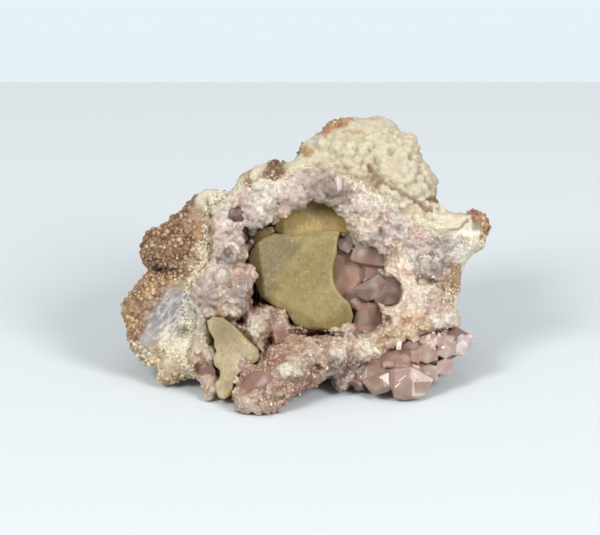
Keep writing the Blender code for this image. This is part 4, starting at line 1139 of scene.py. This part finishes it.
# The large inner points: colour, how much nearer they stand, then corners u, v, w of a closed
# convex shape.
INNER_POINTS = [
    ("a5826e", 1.0, [
        (9.0, -1, -12.6), (9.6, 4.4, -12.4), (11.6, 7.6, -12.6), (15.4, 7.8, -12.8),
        (18.4, 2, -12.2), (18.6, -6, -12.2), (17.6, -12.0, -12.2), (14.6, -11.5, -11.8),
        (10.6, -7.2, -12.0), (9, 0, -23), (12, 10, -23), (20, 8, -23), (20, -12, -23),
        (13, -12, -23), (12.8, 1.2, -11.2), (17.6, 0.4, -11.4), (16.4, -6.4, -11.2),
    ]),
    ("846759", 2.6, [
        (14.9, 2.9, -9.9), (15.9, 5.4, -10.2), (17.7, 8.4, -10.3), (23.4, 7.6, -9.9),
        (28.0, 2.4, -8.9), (27.6, 1.0, -9.0), (24.4, 0.4, -8.7), (16.0, 1.8, -9.4),
        (20.0, 3.4, -9.2), (24.4, 0.0, -9.6), (15.8, 1.3, -10.4), (24, 6, -16), (28, 0, -15),
        (20, 0, -15), (17, 4.5, -15),
    ]),
    ("795f54", 2.6, [
        (15.7, -6.4, -9.4), (18.5, -4.7, -9.3), (23.9, -1.7, -9.2), (25.8, -4.3, -8.0),
        (22.6, -9.4, -8.0), (20.2, -10.3, -8.8), (17.0, -8.9, -9.3), (21.0, -6.4, -8.2),
        (23, -2, -15), (27, -5, -15), (22, -10, -14), (17, -8, -15),
    ]),
    ("73574c", 2.4, [
        (25.4, -3.4, -8.4), (28.4, -3.4, -8.2), (32.0, -6.4, -8.0), (30.0, -10.8, -7.8),
        (23.4, -11.8, -8.0), (22.4, -9.6, -8.2), (26.2, -7.4, -7.0), (30, -6, -15),
        (28, -11, -15), (22, -10, -15), (25, -4, -15),
    ]),
    ("896a5d", 2.6, [
        (17.3, -12.4, -9.6), (18.8, -10.7, -10.0), (22.6, -10.5, -10.0), (24.2, -12.8, -9.4),
        (25.4, -18.6, -8.8), (21.2, -21.4, -8.8), (15.0, -20.6, -9.2), (16.5, -16.5, -9.2),
        (20.0, -12.6, -8.2), (22.6, -13.6, -8.0), (20.4, -17.2, -7.6), (16, -12, -17),
        (24, -12, -17), (24, -18, -17), (16, -18.8, -17),
    ]),
    ("967a6d", 2.2, [
        (15.0, -10.0, -9.4), (16.6, -9.2, -9.4), (18.4, -10.6, -9.2), (17.4, -12.9, -9.0),
        (15.4, -12.0, -9.2), (16.8, -11.0, -8.2), (15, -10, -14), (18, -11, -14), (16, -13, -14),
    ]),
    ("a08c86", 1.5, [
        (10.9, 7.7, -10.4), (12.0, 8.9, -10.6), (15.6, 9.3, -11.0), (16.0, 6.0, -10.0),
        (14.6, 4.2, -9.6), (11.8, 5.6, -9.4), (13.6, 7.2, -8.8), (11, 8, -16), (17, 9, -16),
        (15, 4, -15),
    ]),
    ("867670", 1.5, [
        (12.2, 10.6, -11.5), (15.2, 12.9, -11.5), (17.4, 10.0, -11.0), (15, 8.8, -10.4),
        (14.4, 10.8, -9.9), (12, 10, -16), (16, 13, -16), (18, 9, -16),
    ]),
    ("8e6e60", 1.0, [
        (13.6, -7.5, -11.2), (24.5, -8.0, -9.9), (26.4, -12.5, -9.7), (25.0, -20, -10.2),
        (14.6, -21, -10.8), (13.2, -14, -11.4), (14, -8, -20), (25, -8, -20), (25, -20, -20),
        (14, -20, -20),
    ]),
    ("665049", 1.6, [
        (-22.0, 14.6, -0.6), (-21.0, 17.8, -0.3), (-17.6, 18.0, -0.5), (-16.2, 15.4, -0.9),
        (-18.4, 13.4, -0.7), (-19.6, 15.2, 0.7), (-18.4, 16.4, 0.2), (-22, 14, -6), (-16, 14, -6),
        (-19, 18.4, -6),
    ]),
    ("8a6857", 0.8, [
        (17.4, 0.8, -11.4), (23.6, 0.6, -11.0), (23.6, -2.2, -10.8), (18.4, -4.4, -11.4),
        (17, 1, -15), (24, 1, -15), (24, -4, -15), (17, -5, -15),
    ]),
    ("a08c80", 1.5, [
        (-9.2, 16.4, -3.8), (-7.0, 17.8, -3.2), (-5.8, 16.0, -3.4), (-6.4, 13.6, -4.4),
        (-8.4, 12.6, -4.6), (-7.6, 15.2, -1.8), (-9, 17, -8), (-6, 14, -8), (-7, 18, -8),
    ]),
    ("c8bab2", 4.8, [
        (10.3, 26.8, -3.6), (11.3, 27.6, -3.4), (12.6, 26.2, -3.6), (12.5, 23.6, -3.6),
        (11.2, 22.0, -3.8), (10.5, 22.8, -3.8), (11.4, 25.2, -2.3), (11.2, 23.4, -2.5),
        (10.5, 27, -8), (12.4, 23, -8),
    ]),
]

CLUSTER_MESH = 0.22
CLUSTER_BACK = -4.0
CLUSTER_PALE, CLUSTER_DEEP = linear("cdb2aa"), linear("b08f86")  # of its small crystals
SMALL_PER_AREA = 0.22  # small crystals tried on each square millimetre of the cluster
# The crystals of the cluster at the lower right, laid out in the same way.
CLUSTER_POINTS = [
    # The first is the right face of the large crystal after it, paler as painted light on that face
    ("cdbbb1", 0, [
        (33.4, -33.8, 12.95), (36.0, -31.3, 11.6), (39.9, -33.4, 7.3), (37.2, -38.0, 8.1),
        (33.4, -38.3, 11.0), (35, -33, 6), (36, -37, 6),
    ]),
    ("a1867a", 0, [
        (26.7, -30.8, 9.4), (28.5, -30.4, 12.2), (33.3, -29.6, 12.4), (36.2, -31.0, 11.4),
        (39.9, -33.4, 7.2), (38.6, -36.2, 7.6), (37.2, -38.1, 8.0), (35.4, -39.0, 9.0),
        (31.0, -39.7, 9.4), (27.9, -38.7, 9.6), (26.9, -35.2, 10.0), (31.8, -32.6, 13.0),
        (28.0, -36.2, 12.4), (33.4, -33.8, 12.9), (33.2, -38.4, 11.0), (28.4, -38.4, 10.8),
        (27, -30, -2), (37, -29, -3), (39.6, -33, -2), (37, -36, -1), (28, -36, 0),
    ]),
    ("8f7669", 0, [
        (18.6, -34.2, 7.0), (20.6, -33.0, 8.0), (23.2, -32.2, 9.0), (26.7, -30.8, 8.6),
        (27.2, -35.4, 9.8), (26.6, -37.0, 9.4), (22.2, -38.2, 9.0), (20.6, -36.8, 8.4),
        (24.6, -33.4, 10.6), (25.0, -35.6, 10.8), (22.4, -36.6, 10.2),
        (19, -33, -1), (26, -31.5, -1), (27, -36, 0), (21, -36, 0),
    ]),
    ("8f7265", 0, [
        (14.6, -27.4, 2.0), (22.0, -25.4, 2.4), (25.0, -31.0, 6.0), (19.4, -34.0, 6.6),
        (15.6, -33.4, 4.6), (14.2, -30.0, 3.0), (20.0, -29.6, 5.6), (16, -27, -6),
        (23, -27, -6), (22, -33, -4), (16, -33, -4),
    ]),
    ("93766b", 0, [
        (27, -17.4, -6), (36, -17.0, -6), (47, -17.6, -7), (51, -20, -8), (48, -26, -3.5),
        (42, -30, 0.5), (34, -31, 2), (25, -28, 1), (33, -22, 0.4), (43, -22, -1.0),
        (27, -18, -12), (47, -18, -12), (48, -26, -10), (30, -29, -8),
    ]),
    ("8f7065", 0, [
        (22.0, -25.6, 2.2), (31.5, -24.4, 1.4), (37, -25.0, 1.4), (37.4, -30.4, 5),
        (31, -31.2, 7.0), (24.2, -31.0, 6.0), (30.4, -28.4, 5.8), (22, -27, -7),
        (36, -25, -7), (37, -30, -6), (24, -30, -6),
    ]),
    ("ad9286", 0, [
        (24.4, -28.6, 6.2), (25.4, -27.9, 6.0), (27.9, -28.1, 6.0), (28.3, -29.4, 6.6),
        (27.2, -30.0, 7.2), (24.8, -29.9, 7.2), (26.4, -28.9, 7.8), (26, -29, 2),
    ]),
    ("9a7d71", 0, [
        (29.2, -26.6, 4.2), (31.0, -25.8, 4.0), (33.2, -27.0, 4.4), (32.8, -29.2, 6.0),
        (30.6, -29.8, 6.6), (29.0, -28.6, 5.8), (31.0, -27.8, 6.8), (31, -28, 1),
    ]),
    ("977a6f", 0, [
        (32.8, -24.8, 3.0), (35.4, -24.2, 2.6), (36.6, -26.0, 3.4), (35.6, -29.0, 6.0),
        (33.4, -28.2, 5.6), (34.6, -26.4, 5.4), (34, -27, 0),
    ]),
    ("a58c7e", 0, [
        (34.6, -25.2, 3.2), (37.0, -22.8, 2.2), (40.2, -23.2, 2.2), (41.4, -25.4, 3.0),
        (41.2, -27.8, 4.4), (37.8, -28.8, 5.8), (35.2, -27.6, 5.0), (38.0, -25.4, 6.0),
        (39.6, -26.4, 6.0), (36, -24, -7), (41, -24, -7), (41, -27, -6), (36, -27, -6),
    ]),
    ("ad9184", 0, [
        (35.6, -21.0, 0.0), (38.6, -19.8, -1), (41.8, -20.4, -0.6), (41.6, -23.4, 1.8),
        (38.0, -23.2, 2.0), (36.0, -22.6, 1.4), (39.4, -21.8, 2.0), (36, -21, -8), (42, -21, -9),
        (42, -24, -8), (36, -24, -8),
    ]),
    ("ac958c", 0, [
        (41.2, -22.0, 1.2), (43.4, -20.0, 0), (46.4, -20.6, -0.4), (46.8, -25.4, 1.5),
        (43.6, -27.4, 3.4), (41.2, -26.2, 3.2), (43.2, -23.0, 4.0), (45.0, -24.6, 3.6),
        (41, -22, -9), (46, -22, -9), (46, -26, -8), (41, -26, -8),
    ]),
    ("bbaeae", 0, [
        (45.6, -24.4, 0.2), (47.6, -20.6, -2.4), (48.6, -19.9, -3), (50.8, -20.8, -3.4),
        (52.8, -22.4, -3.4), (52.7, -22.9, -3.2), (50.8, -24.9, -1.6), (49.4, -26.2, -0.4),
        (45.2, -26.4, 0.8), (48.8, -21.8, 0.0), (50.2, -23.6, 0.0), (50.9, -21.9, -1.0),
        (46, -22, -9), (50, -22, -9), (50.5, -24, -8),
    ]),
    ("a9948b", 0, [
        (36.0, -29.8, 4.4), (38.4, -28.8, 4.2), (41.0, -29.6, 4.6), (41.2, -32.6, 5.8),
        (39.4, -33.6, 6.6), (36.6, -32.8, 7.0), (38.6, -31.0, 7.6), (37, -29, -4),
        (41, -29, -4), (40, -32, -3),
    ]),
    ("ae998f", 0, [
        (40.8, -28.2, 3.2), (43.4, -27.2, 2.5), (46.2, -27.4, 1.6), (45.4, -30.8, 2.8),
        (43.6, -32.2, 4.6), (41.0, -31.8, 5.4), (43.0, -29.4, 5.8), (41, -29, -4),
        (45, -29, -4), (42, -32, -3),
    ]),
]

# Small pale crystals, and near-white slivers that are painted glints and reflections on facets and
# steps of the larger crystals: colour, lift and corners, as above.
PALE_CRYSTALS_AND_PAINTED_GLINTS = [
    ("d8cac2", 0, [
        (28.2, -36.2, 12.55), (28.9, -35.4, 12.7), (30.2, -34.2, 12.9), (29.4, -34.4, 12.9),
        (28.2, -35.4, 12.7), (28.9, -35.2, 13.0), (29, -35, 12),
    ]),
    ("efe3db", 0, [
        (29.0, -34.0, 12.9), (31.6, -31.8, 12.8), (31.9, -31.9, 12.8), (29.6, -33.9, 13.0),
        (30.6, -32.8, 13.1), (30.4, -33, 12),
    ]),
    ("cdbdb4", 0, [
        (23.4, -32.6, 9.8), (26.6, -31.2, 9.6), (26.8, -35.4, 10.3), (26.2, -34.4, 10.6),
        (24.8, -33.8, 10.7), (25.6, -33.0, 10.5), (25.8, -33, 9),
    ]),
    ("efe3c6", 0, [
        (19.3, -24.3, 7.0), (20.4, -23.4, 7.0), (22.6, -23.6, 6.8), (24.3, -25.8, 6.8),
        (20.2, -25.2, 7.8), (21.4, -24.2, 8.6), (21, -24.6, 3),
    ]),
    ("f0e6d8", 0, [
        (28.9, -22.4, 4.8), (30.5, -22.0, 4.6), (30.2, -24.7, 5.0), (28.7, -24.6, 5.2),
        (29.7, -23.4, 6.4), (29.4, -23.4, 1),
    ]),
    ("eadfd6", 0, [
        (42.0, -24.0, 4.4), (43.2, -23.2, 4.2), (43.5, -24.2, 4.4), (42.8, -24.5, 4.8),
        (42.8, -23.9, 5.2), (42.6, -24, 1),
    ]),
    ("dccbc4", 0, [
        (39.6, -23.9, 4.2), (40.3, -24.0, 4.2), (40.2, -24.8, 4.6), (39.8, -24.4, 5.0),
        (40, -24.4, 1),
    ]),
    ("e8d9d2", 0, [
        (-13.9, -38.3, 14.2), (-13.5, -38.6, 14.2), (-11.2, -37.2, 13.6), (-11.5, -36.8, 13.6),
        (-12.6, -37.7, 14.6), (-12.6, -37.7, 11),
    ]),
    ("d9c3b8", 0, [
        (-10.8, -35.6, 13.0), (-8.2, -35.3, 12.0), (-7.6, -38.4, 12.6), (-8.8, -39.9, 13.6),
        (-10.6, -38.8, 14.0), (-9.2, -37.2, 14.6), (-9, -37, 8),
    ]),
]


def convex_parts(rows, draw):
    """Crystals given by their corners, as points, faces and colours of closed convex shapes."""
    parts = []
    for colour, lift, corners in rows:
        shape = bmesh.new()
        for u, v, w in corners:
            where = place(u, v, w + lift)
            where.z = max(where.z, 0.15 * MM)
            shape.verts.new(where)
        made = bmesh.ops.convex_hull(shape, input=shape.verts)
        loose = [g for g in made["geom_interior"] if isinstance(g, bmesh.types.BMVert)]
        bmesh.ops.delete(shape, geom=loose, context="VERTS")
        bmesh.ops.dissolve_limit(
            shape, angle_limit=math.radians(5), verts=shape.verts, edges=shape.edges
        )
        bmesh.ops.recalc_face_normals(shape, faces=shape.faces)
        shape.verts.index_update()
        points = np.array([tuple(v.co) for v in shape.verts])
        faces = [tuple(v.index for v in f.verts) for f in shape.faces]
        shape.free()
        shades = linear(colour) * draw.uniform(0.95, 1.05, (len(points), 1))
        parts.append((points, faces, shades))
    return parts


def fused_points(name, parts, size, back, material, slot, *nodes):
    """Large crystals grown together, smooth and clouded inside; coarse behind the level back."""
    thing, tree, face_colours = fused(name, parts, size)
    points = points_of(thing)
    cloud = noise_over(face_frame(points), 0.33)
    tint(thing, shaded(nearest_colours(points, tree, face_colours), 0.5 + 0.24 * cloud))
    hidden = face_frame(points)[:, 2] < back
    thinned_where(thing, hidden, triangles_of(thing) * (1.05 - hidden.mean()))
    join_piece(thing, material, slot, *nodes)


def worn_points(name, parts):
    """Small separate crystals and painted glints, with narrow worn edges."""
    for k, (points, faces, shades) in enumerate(parts):
        thing = new_object(name, points, faces)
        tint(thing, shades)
        modified(thing, "BEVEL", width=0.12 * MM, segments=2, limit_method="ANGLE", angle_limit=0.2)
        corners = points_of(thing)
        shades = np.repeat(shades.mean(axis=0)[None], len(corners), axis=0)
        parts[k] = (corners, faces_of(thing), shades)
        bpy.data.objects.remove(thing)
    crystals_piece(name, (*gathered(parts), np.concatenate([part[2] for part in parts])))


def cluster_crystals(large, draw):
    """Small crystals on the large ones of the cluster."""
    trees = [BVHTree.FromPolygons([tuple(p) for p in part[0]], part[1]) for part in large]
    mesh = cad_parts["amethyst_cluster"].data
    mesh.calc_loop_triangles()
    roots, normals = [], []
    for t in mesh.loop_triangles:
        a, b, c = (np.array(mesh.vertices[k].co) for k in t.vertices)
        for _ in range(int(draw.poisson(t.area / MM**2 * SMALL_PER_AREA))):
            s, q = np.sort(draw.random(2))
            roots.append(a * s + b * (q - s) + c * (1 - q))
            normals.append(t.normal)
    roots, normals = np.array(roots), np.array(normals)
    uvw = face_frame(roots)
    right = (uvw[:, 0] > 34) & (uvw[:, 1] > -33)
    near = [any(t.find_nearest(Vector(p), 0.6 * MM)[0] for t in trees) for p in roots]
    keep = right & (normals @ FRONT > -0.1) & (roots[:, 2] > 1.5 * MM) & near
    roots, normals = roots[keep], normals[keep]
    count = len(roots)
    r = draw.uniform(0.5, 1.4, count)
    aims = leaned(normals, 0.0, 0.5, draw)
    colours = mixed(CLUSTER_DEEP, CLUSTER_PALE, draw.random((count, 1)))
    high = r * draw.uniform(0.7, 1.3, count)
    return crystals((roots, aims), (r, r * 1.3, high), colours, POINT, POINT_RIM, draw)


# ---------------------------------------------------------------- calcite

# Outlines of the blades in the face plane.
MAIN_OUTLINE = [
    (-13, 7.5), (-11, 9), (-8, 10.3), (-5, 10.0), (-2.5, 9.4), (0, 9.8), (5, 10.9), (9, 11.2),
    (12, 10.8), (11.1, 7), (11, 4), (9.8, 0), (10, -4), (11, -6.5), (13, -9), (15, -10.5),
    (16, -14.5), (15.5, -16.8), (13.5, -18.6), (10, -19.3), (2, -18.6), (-1.5, -17.3),
    (-4.3, -13.2), (-7, -12.2), (-11.8, -9), (-13.4, -5), (-15, -1), (-15.4, 2), (-15, 4.8),
]
UPPER_OUTLINE = [
    (-8.0, 10.9), (-7.6, 14.5), (-6.2, 17.6), (-2.5, 20.2), (2, 21.8), (10, 22.0),
    (14, 20.2), (15.6, 17.5), (15.8, 14), (14.4, 10.2), (9, 10.4),
    (5, 10.2), (0, 9.2), (-2.5, 8.8), (-5, 9.4),
]
BACK_LEFT_OUTLINE = [
    (-14.6, 8.0), (-13.6, 10.4), (-11, 12.2), (-8.2, 12.4), (-7.6, 10.6), (-11.0, 8.6),
    (-13.2, 7.0),
]
LOWER_LEFT_OUTLINE = [
    (-27.8, -16.0), (-26, -14.6), (-23, -15.0), (-19.5, -17.5), (-16, -21.2), (-12.5, -24.3),
    (-11.8, -26.7), (-12.6, -28), (-15.5, -29.8), (-17.5, -31.2), (-19.3, -32.8), (-19.6, -34.8),
    (-20.5, -37.8), (-22.4, -39.4), (-24.3, -38.7), (-25.2, -36.2), (-25.2, -34.4),
    (-23.8, -32.6), (-23.8, -30.6), (-25.4, -29.2), (-25.8, -26.7), (-24.8, -25),
    (-25.5, -23.2), (-25.6, -21.2), (-27.2, -18.8),
]

# Flat faces of each blade's front: u, v, w of a point on it, then its slope per u and per v. The
# front is the lowest of them at each place.
MAIN_FACES = [
    (2, -4, -2.6, 0.012, -0.055), (-4.5, -0.8, -2.9, 0.085, -0.13), (-9, 0, -3.2, 0.30, -0.06),
    (-12.5, 0, -4.6, 0.75, 0.0), (-4, -13, -2.9, 0.22, 0.30), (12, -16, -2.7, -0.16, 0.16),
    (0, 9.2, -3.6, 0.02, -0.55),
]
UPPER_FACES = [
    (6, 15, -7.8, 0.03, -0.10), (-3, 14, -8.0, 0.20, 0.02), (-5.5, 14, -8.8, 0.7, 0.0),
    (10, 17, -8.2, -0.10, -0.22),
]
BACK_LEFT_FACES = [(-11, 10.6, -8.6, 0.05, -0.2), (-13.4, 9.0, -9.2, 0.5, 0.0)]
LOWER_LEFT_FACES = [
    (-22, -19, 12.0, 0.02, -0.46), (-18, -25, 13.6, -0.12, -0.16), (-22, -32, 14.2, 0.16, -0.02),
    (-13.5, -26.5, 12.8, -0.7, 0.1), (-22.5, -37, 13.6, 0.0, 0.24),
]

# The colours of the calcites by name.
CALCITE_COLOURS = {
    "honey_pale": "9c8f5f",
    "honey_light": "988756",
    "honey": "8e7e4d",
    "honey_shade": "7a6b3f",
    "tawny": "ad965e",
    "brown": "9e8446",
    "dark_brown": "866b36",
    "deep_brown": "876b3e",
    "deep_tawny": "987e4d",
    "greenish": "8f7e5c",
    "cream": "ac9b79",
    "yellow": "ba9e50",
    "white": "c2af9b",
}
# Colours over each blade: u, v, reach, colour.
MAIN_ZONES = [
    # honey_shade on the left of the main blade is painted shade where its front rounds away from the
    # light
    (-6, 6, 6, "honey_shade"), (-12, 2, 4, "honey_shade"), (-11, -5, 4, "honey_shade"),
    (0, -2, 6, "honey"), (6, 5, 5, "honey"), (9, 9.5, 2.5, "honey_pale"),
    (5, -12, 6, "honey_light"), (13.5, -14, 3, "honey"), (9, -17, 2.6, "honey_light"),
    (0, -16.5, 3, "honey_pale"), (-6, -11, 3, "honey_light"), (9.5, -3, 2, "honey_light"),
    (-2, 9.6, 2, "honey_pale"),
]
UPPER_ZONES = [
    (-4.5, 14, 3, "tawny"), (-1, 17, 3, "brown"), (3, 14, 4, "tawny"), (8, 17, 4, "dark_brown"),
    (12, 14, 4, "brown"), (6, 20, 4, "dark_brown"), (13, 18.5, 3, "dark_brown"),
]
BACK_LEFT_ZONES = [(-13, 9, 2, "deep_brown"), (-10, 11, 2, "deep_tawny")]
LOWER_LEFT_ZONES = [
    (-23.5, -18, 4, "greenish"), (-20, -20.5, 4, "greenish"), (-26.5, -17, 2, "cream"),
    (-17, -25, 4, "cream"), (-21, -26.5, 4, "cream"), (-14, -26, 2.4, "cream"),
    (-22, -33, 4, "cream"), (-21.4, -37.8, 2, "yellow"), (-24, -37.5, 2, "white"),
    (-18, -30, 3, "cream"),
]

# Each blade: node, outline, faces, zones, level of its back, how speckled it is, relief in mm.
CALCITES = [
    ("calcite_main", MAIN_OUTLINE, MAIN_FACES, MAIN_ZONES, -20.5, 1.0, 0.10),
    ("calcite_upper", UPPER_OUTLINE, UPPER_FACES, UPPER_ZONES, -21.5, 0.8, 0.16),
    ("calcite_back_left", BACK_LEFT_OUTLINE, BACK_LEFT_FACES, BACK_LEFT_ZONES, -19.0, 0.3, 0.10),
    ("calcite_lower_left", LOWER_LEFT_OUTLINE, LOWER_LEFT_FACES, LOWER_LEFT_ZONES, 4.0, 0.1, 0.14),
]
# The paler colour painted on the blades' edges as light that shows through them
EDGE_GLOW_COLOUR = linear("c0b48a")


def front_level(u, v, faces):
    """w of a blade's front at the place, in mm: that of the lowest of its faces."""
    return np.min([w + (u - fu) * su + (v - fv) * sv for fu, fv, w, su, sv in faces], axis=0)


def blade_solid(name, outline, faces, back):
    """A blade with a narrow worn edge round its faceted front, as a closed mesh."""
    rings = [(None, 0.0), (-1.0, 0.0), (-0.3, 0.25), (0.0, 0.9)]
    points = []
    for drop, inward in rings:
        for u, v in inset(outline, inward):
            level = back if drop is None else float(front_level(u, v, faces)) + drop
            points.append(place(u, v, level))
    n = len(outline)
    sides = [
        (ring * n + k, ring * n + (k + 1) % n, ring * n + n + (k + 1) % n, ring * n + n + k)
        for ring in range(len(rings) - 1) for k in range(n)
    ]
    caps = [tuple(range(n))[::-1], tuple(range(len(points) - n, len(points)))]
    thing = new_object(name, points, sides + caps)
    shape = bmesh.new()
    shape.from_mesh(thing.data)
    bmesh.ops.triangulate(shape, faces=shape.faces)
    bmesh.ops.recalc_face_normals(shape, faces=shape.faces)
    shape.to_mesh(thing.data)
    shape.free()
    return thing


def inset(outline, distance):
    """The outline moved in by a distance, along the bisector at each corner."""
    moved = []
    for before, here, after in zip(outline[-1:] + outline[:-1], outline, outline[1:] + outline[:1]):
        one = Vector((here[0] - before[0], here[1] - before[1])).normalized()
        two = Vector((after[0] - here[0], after[1] - here[1])).normalized()
        side = Vector((one.y + two.y, -one.x - two.x)).normalized()
        moved.append((here[0] + side.x * distance, here[1] + side.y * distance))
    return moved


def make_calcite(node, outline, faces, zones, back, speckled, relief):
    """A blade with its facets, fine relief, colours and gold specks."""
    thing = blade_solid(node + "_blade", outline, faces, back)
    remeshed(thing, 0.4, 2)
    points = points_of(thing)
    uvw = face_frame(points)
    level = front_level(uvw[:, 0], uvw[:, 1], faces)
    ahead = uvw[:, 2] > level - 2.2
    facing = normals_of(thing) @ FRONT
    flat = ease((facing - 0.75) / 0.15) * ahead
    put_points(thing, points + FRONT * ((level - uvw[:, 2]) * flat)[:, None] * MM)
    heights = np.empty(len(points))
    specks = np.empty(len(points))
    for k, p in enumerate(uvw):
        q = Vector(p)
        heights[k] = relief * (noise.fractal(q * 0.25, 1.0, 2.0, 3) + 0.4 * noise.noise(q * 1.2))
        specks[k] = noise.noise(q * 0.22 + Vector((7, 3, 1)))
    moved = wandering(uvw, 0.25, 1.5)
    colours = shares_of(moved, zones) @ zone_colours(zones, CALCITE_COLOURS)
    # Painted light: the edges that turn from the front made paler, as the glow of light through the
    # thin calcite
    rim = (ease((0.93 - facing) / 0.35) * 0.45 * ahead)[:, None]
    right = ease((uvw[:, 0] + 8) / 10) if node == "calcite_main" else 1.0
    amount = speckled * (0.25 + 0.75 * ease((specks + 0.1) / 0.3)) * right
    raised(thing, heights)
    kept_off_floor(thing)
    tint(thing, mixed(colours, EDGE_GLOW_COLOUR, rim))
    tint(thing, np.repeat(amount[:, None], 3, axis=1), "speckle")
    join_piece(thing, CALCITE, "calcite", node)


# ---------------------------------------------------------------- stage, light, camera

def area_light(name, location, target, size, power, colour):
    light = bpy.data.lights.new(name, "AREA")
    light.shape = "DISK"
    light.size = size
    light.energy = power
    light.color = colour
    thing = bpy.data.objects.new(name, light)
    thing.location = location
    aim = Vector(target) - Vector(location)
    thing.rotation_euler = aim.to_track_quat("-Z", "Y").to_euler()
    bpy.context.scene.collection.objects.link(thing)


TABLE_EDGE = 0.283  # y in metres of the table's far edge
LIGHTS = [  # name, place, size in metres, watts, colour
    ("left", (-1.05, -1.2, 1.35), 0.8, 26, (1.0, 0.99, 0.97)),
    ("right", (1.1, -1.2, 1.1), 0.8, 26, (1.0, 0.99, 0.98)),
    ("top", (0.0, -0.1, 1.3), 0.8, 2.0, (1.0, 1.0, 1.0)),
]


def plane(name, x, near, far, z):
    return new_object(name, [(-x, near, z), (x, near, z), (x, far, z), (-x, far, z)], [(0, 1, 2, 3)])


def make_stage():
    table_look, _, shader = material_nodes("table_surface")
    shader.inputs["Base Color"].default_value = (0.64, 0.685, 0.71, 1)
    shader.inputs["Roughness"].default_value = 0.7
    table = plane("table", 4, -3, TABLE_EDGE, 0)
    table.data.materials.append(table_look)
    glow, _, shader = material_nodes("backdrop_surface")
    shader.inputs["Base Color"].default_value = (0, 0, 0, 1)
    shader.inputs["Emission Color"].default_value = (0.745, 0.835, 0.885, 1)
    shader.inputs["Emission Strength"].default_value = 1.0
    backdrop = plane("backdrop", 8, TABLE_EDGE - 0.05, 9, -0.4)
    backdrop.data.materials.append(glow)


def make_light():
    world = bpy.data.worlds.new("studio")
    world.use_nodes = True
    world.node_tree.nodes["Background"].inputs["Color"].default_value = (0.93, 0.97, 1.0, 1)
    world.node_tree.nodes["Background"].inputs["Strength"].default_value = 0.50
    bpy.context.scene.world = world
    for name, where, size, power, colour in LIGHTS:
        area_light(name, where, (0, 0, 0.03), size, power, colour)


def make_camera():
    camera = bpy.data.cameras.new("camera")
    camera.sensor_width = 36
    camera.lens = 36 * SIGHT / FIELD
    camera.clip_end = 20
    thing = bpy.data.objects.new("camera", camera)
    thing.location = place(0, 0, SIGHT / MM)
    thing.rotation_euler = (-AXIS_W).to_track_quat("-Z", "Y").to_euler()
    bpy.context.scene.collection.objects.link(thing)
    bpy.context.scene.camera = thing
    bpy.context.scene.view_settings.view_transform = "Standard"


ROCK = rock_material()
BED = quartz_material("druse_bed_surface", roughness=0.33, share=1.0, reach=1.7, relief=0.4)
DRUSE = quartz_material("druse_surface", roughness=0.34, share=0.0, reach=0.6, relief=0.0)
POINTS = quartz_material("point_surface", roughness=0.30, share=0.9, reach=1.8, relief=0.06)
HAZY = quartz_material("hazy_point_surface", roughness=0.45, share=0.9, reach=2.0, relief=0.10)
CALCITE = calcite_material()

make_camera()
draw = np.random.default_rng(SEED)
wall, rough = make_wall(draw)
make_crumbs(wall, rough, draw)
make_fringe(wall, draw)
places, others = make_bed(draw)
make_grains(*places, others, draw)
inner = convex_parts(INNER_POINTS, draw)
fused_points("inner_points", inner, INNER_MESH, INNER_BACK, HAZY, "pale_amethyst")
worn_points("pale_crystals_and_painted_glints", convex_parts(PALE_CRYSTALS_AND_PAINTED_GLINTS, draw))
cluster = convex_parts(CLUSTER_POINTS, draw)
cluster += [cluster_crystals(cluster, draw)]
fused_points(
    "cluster_points", cluster, CLUSTER_MESH, CLUSTER_BACK, POINTS, "pink_amethyst",
    "amethyst_cluster",
)
for row in CALCITES:
    make_calcite(*row)
make_stage()
make_light()
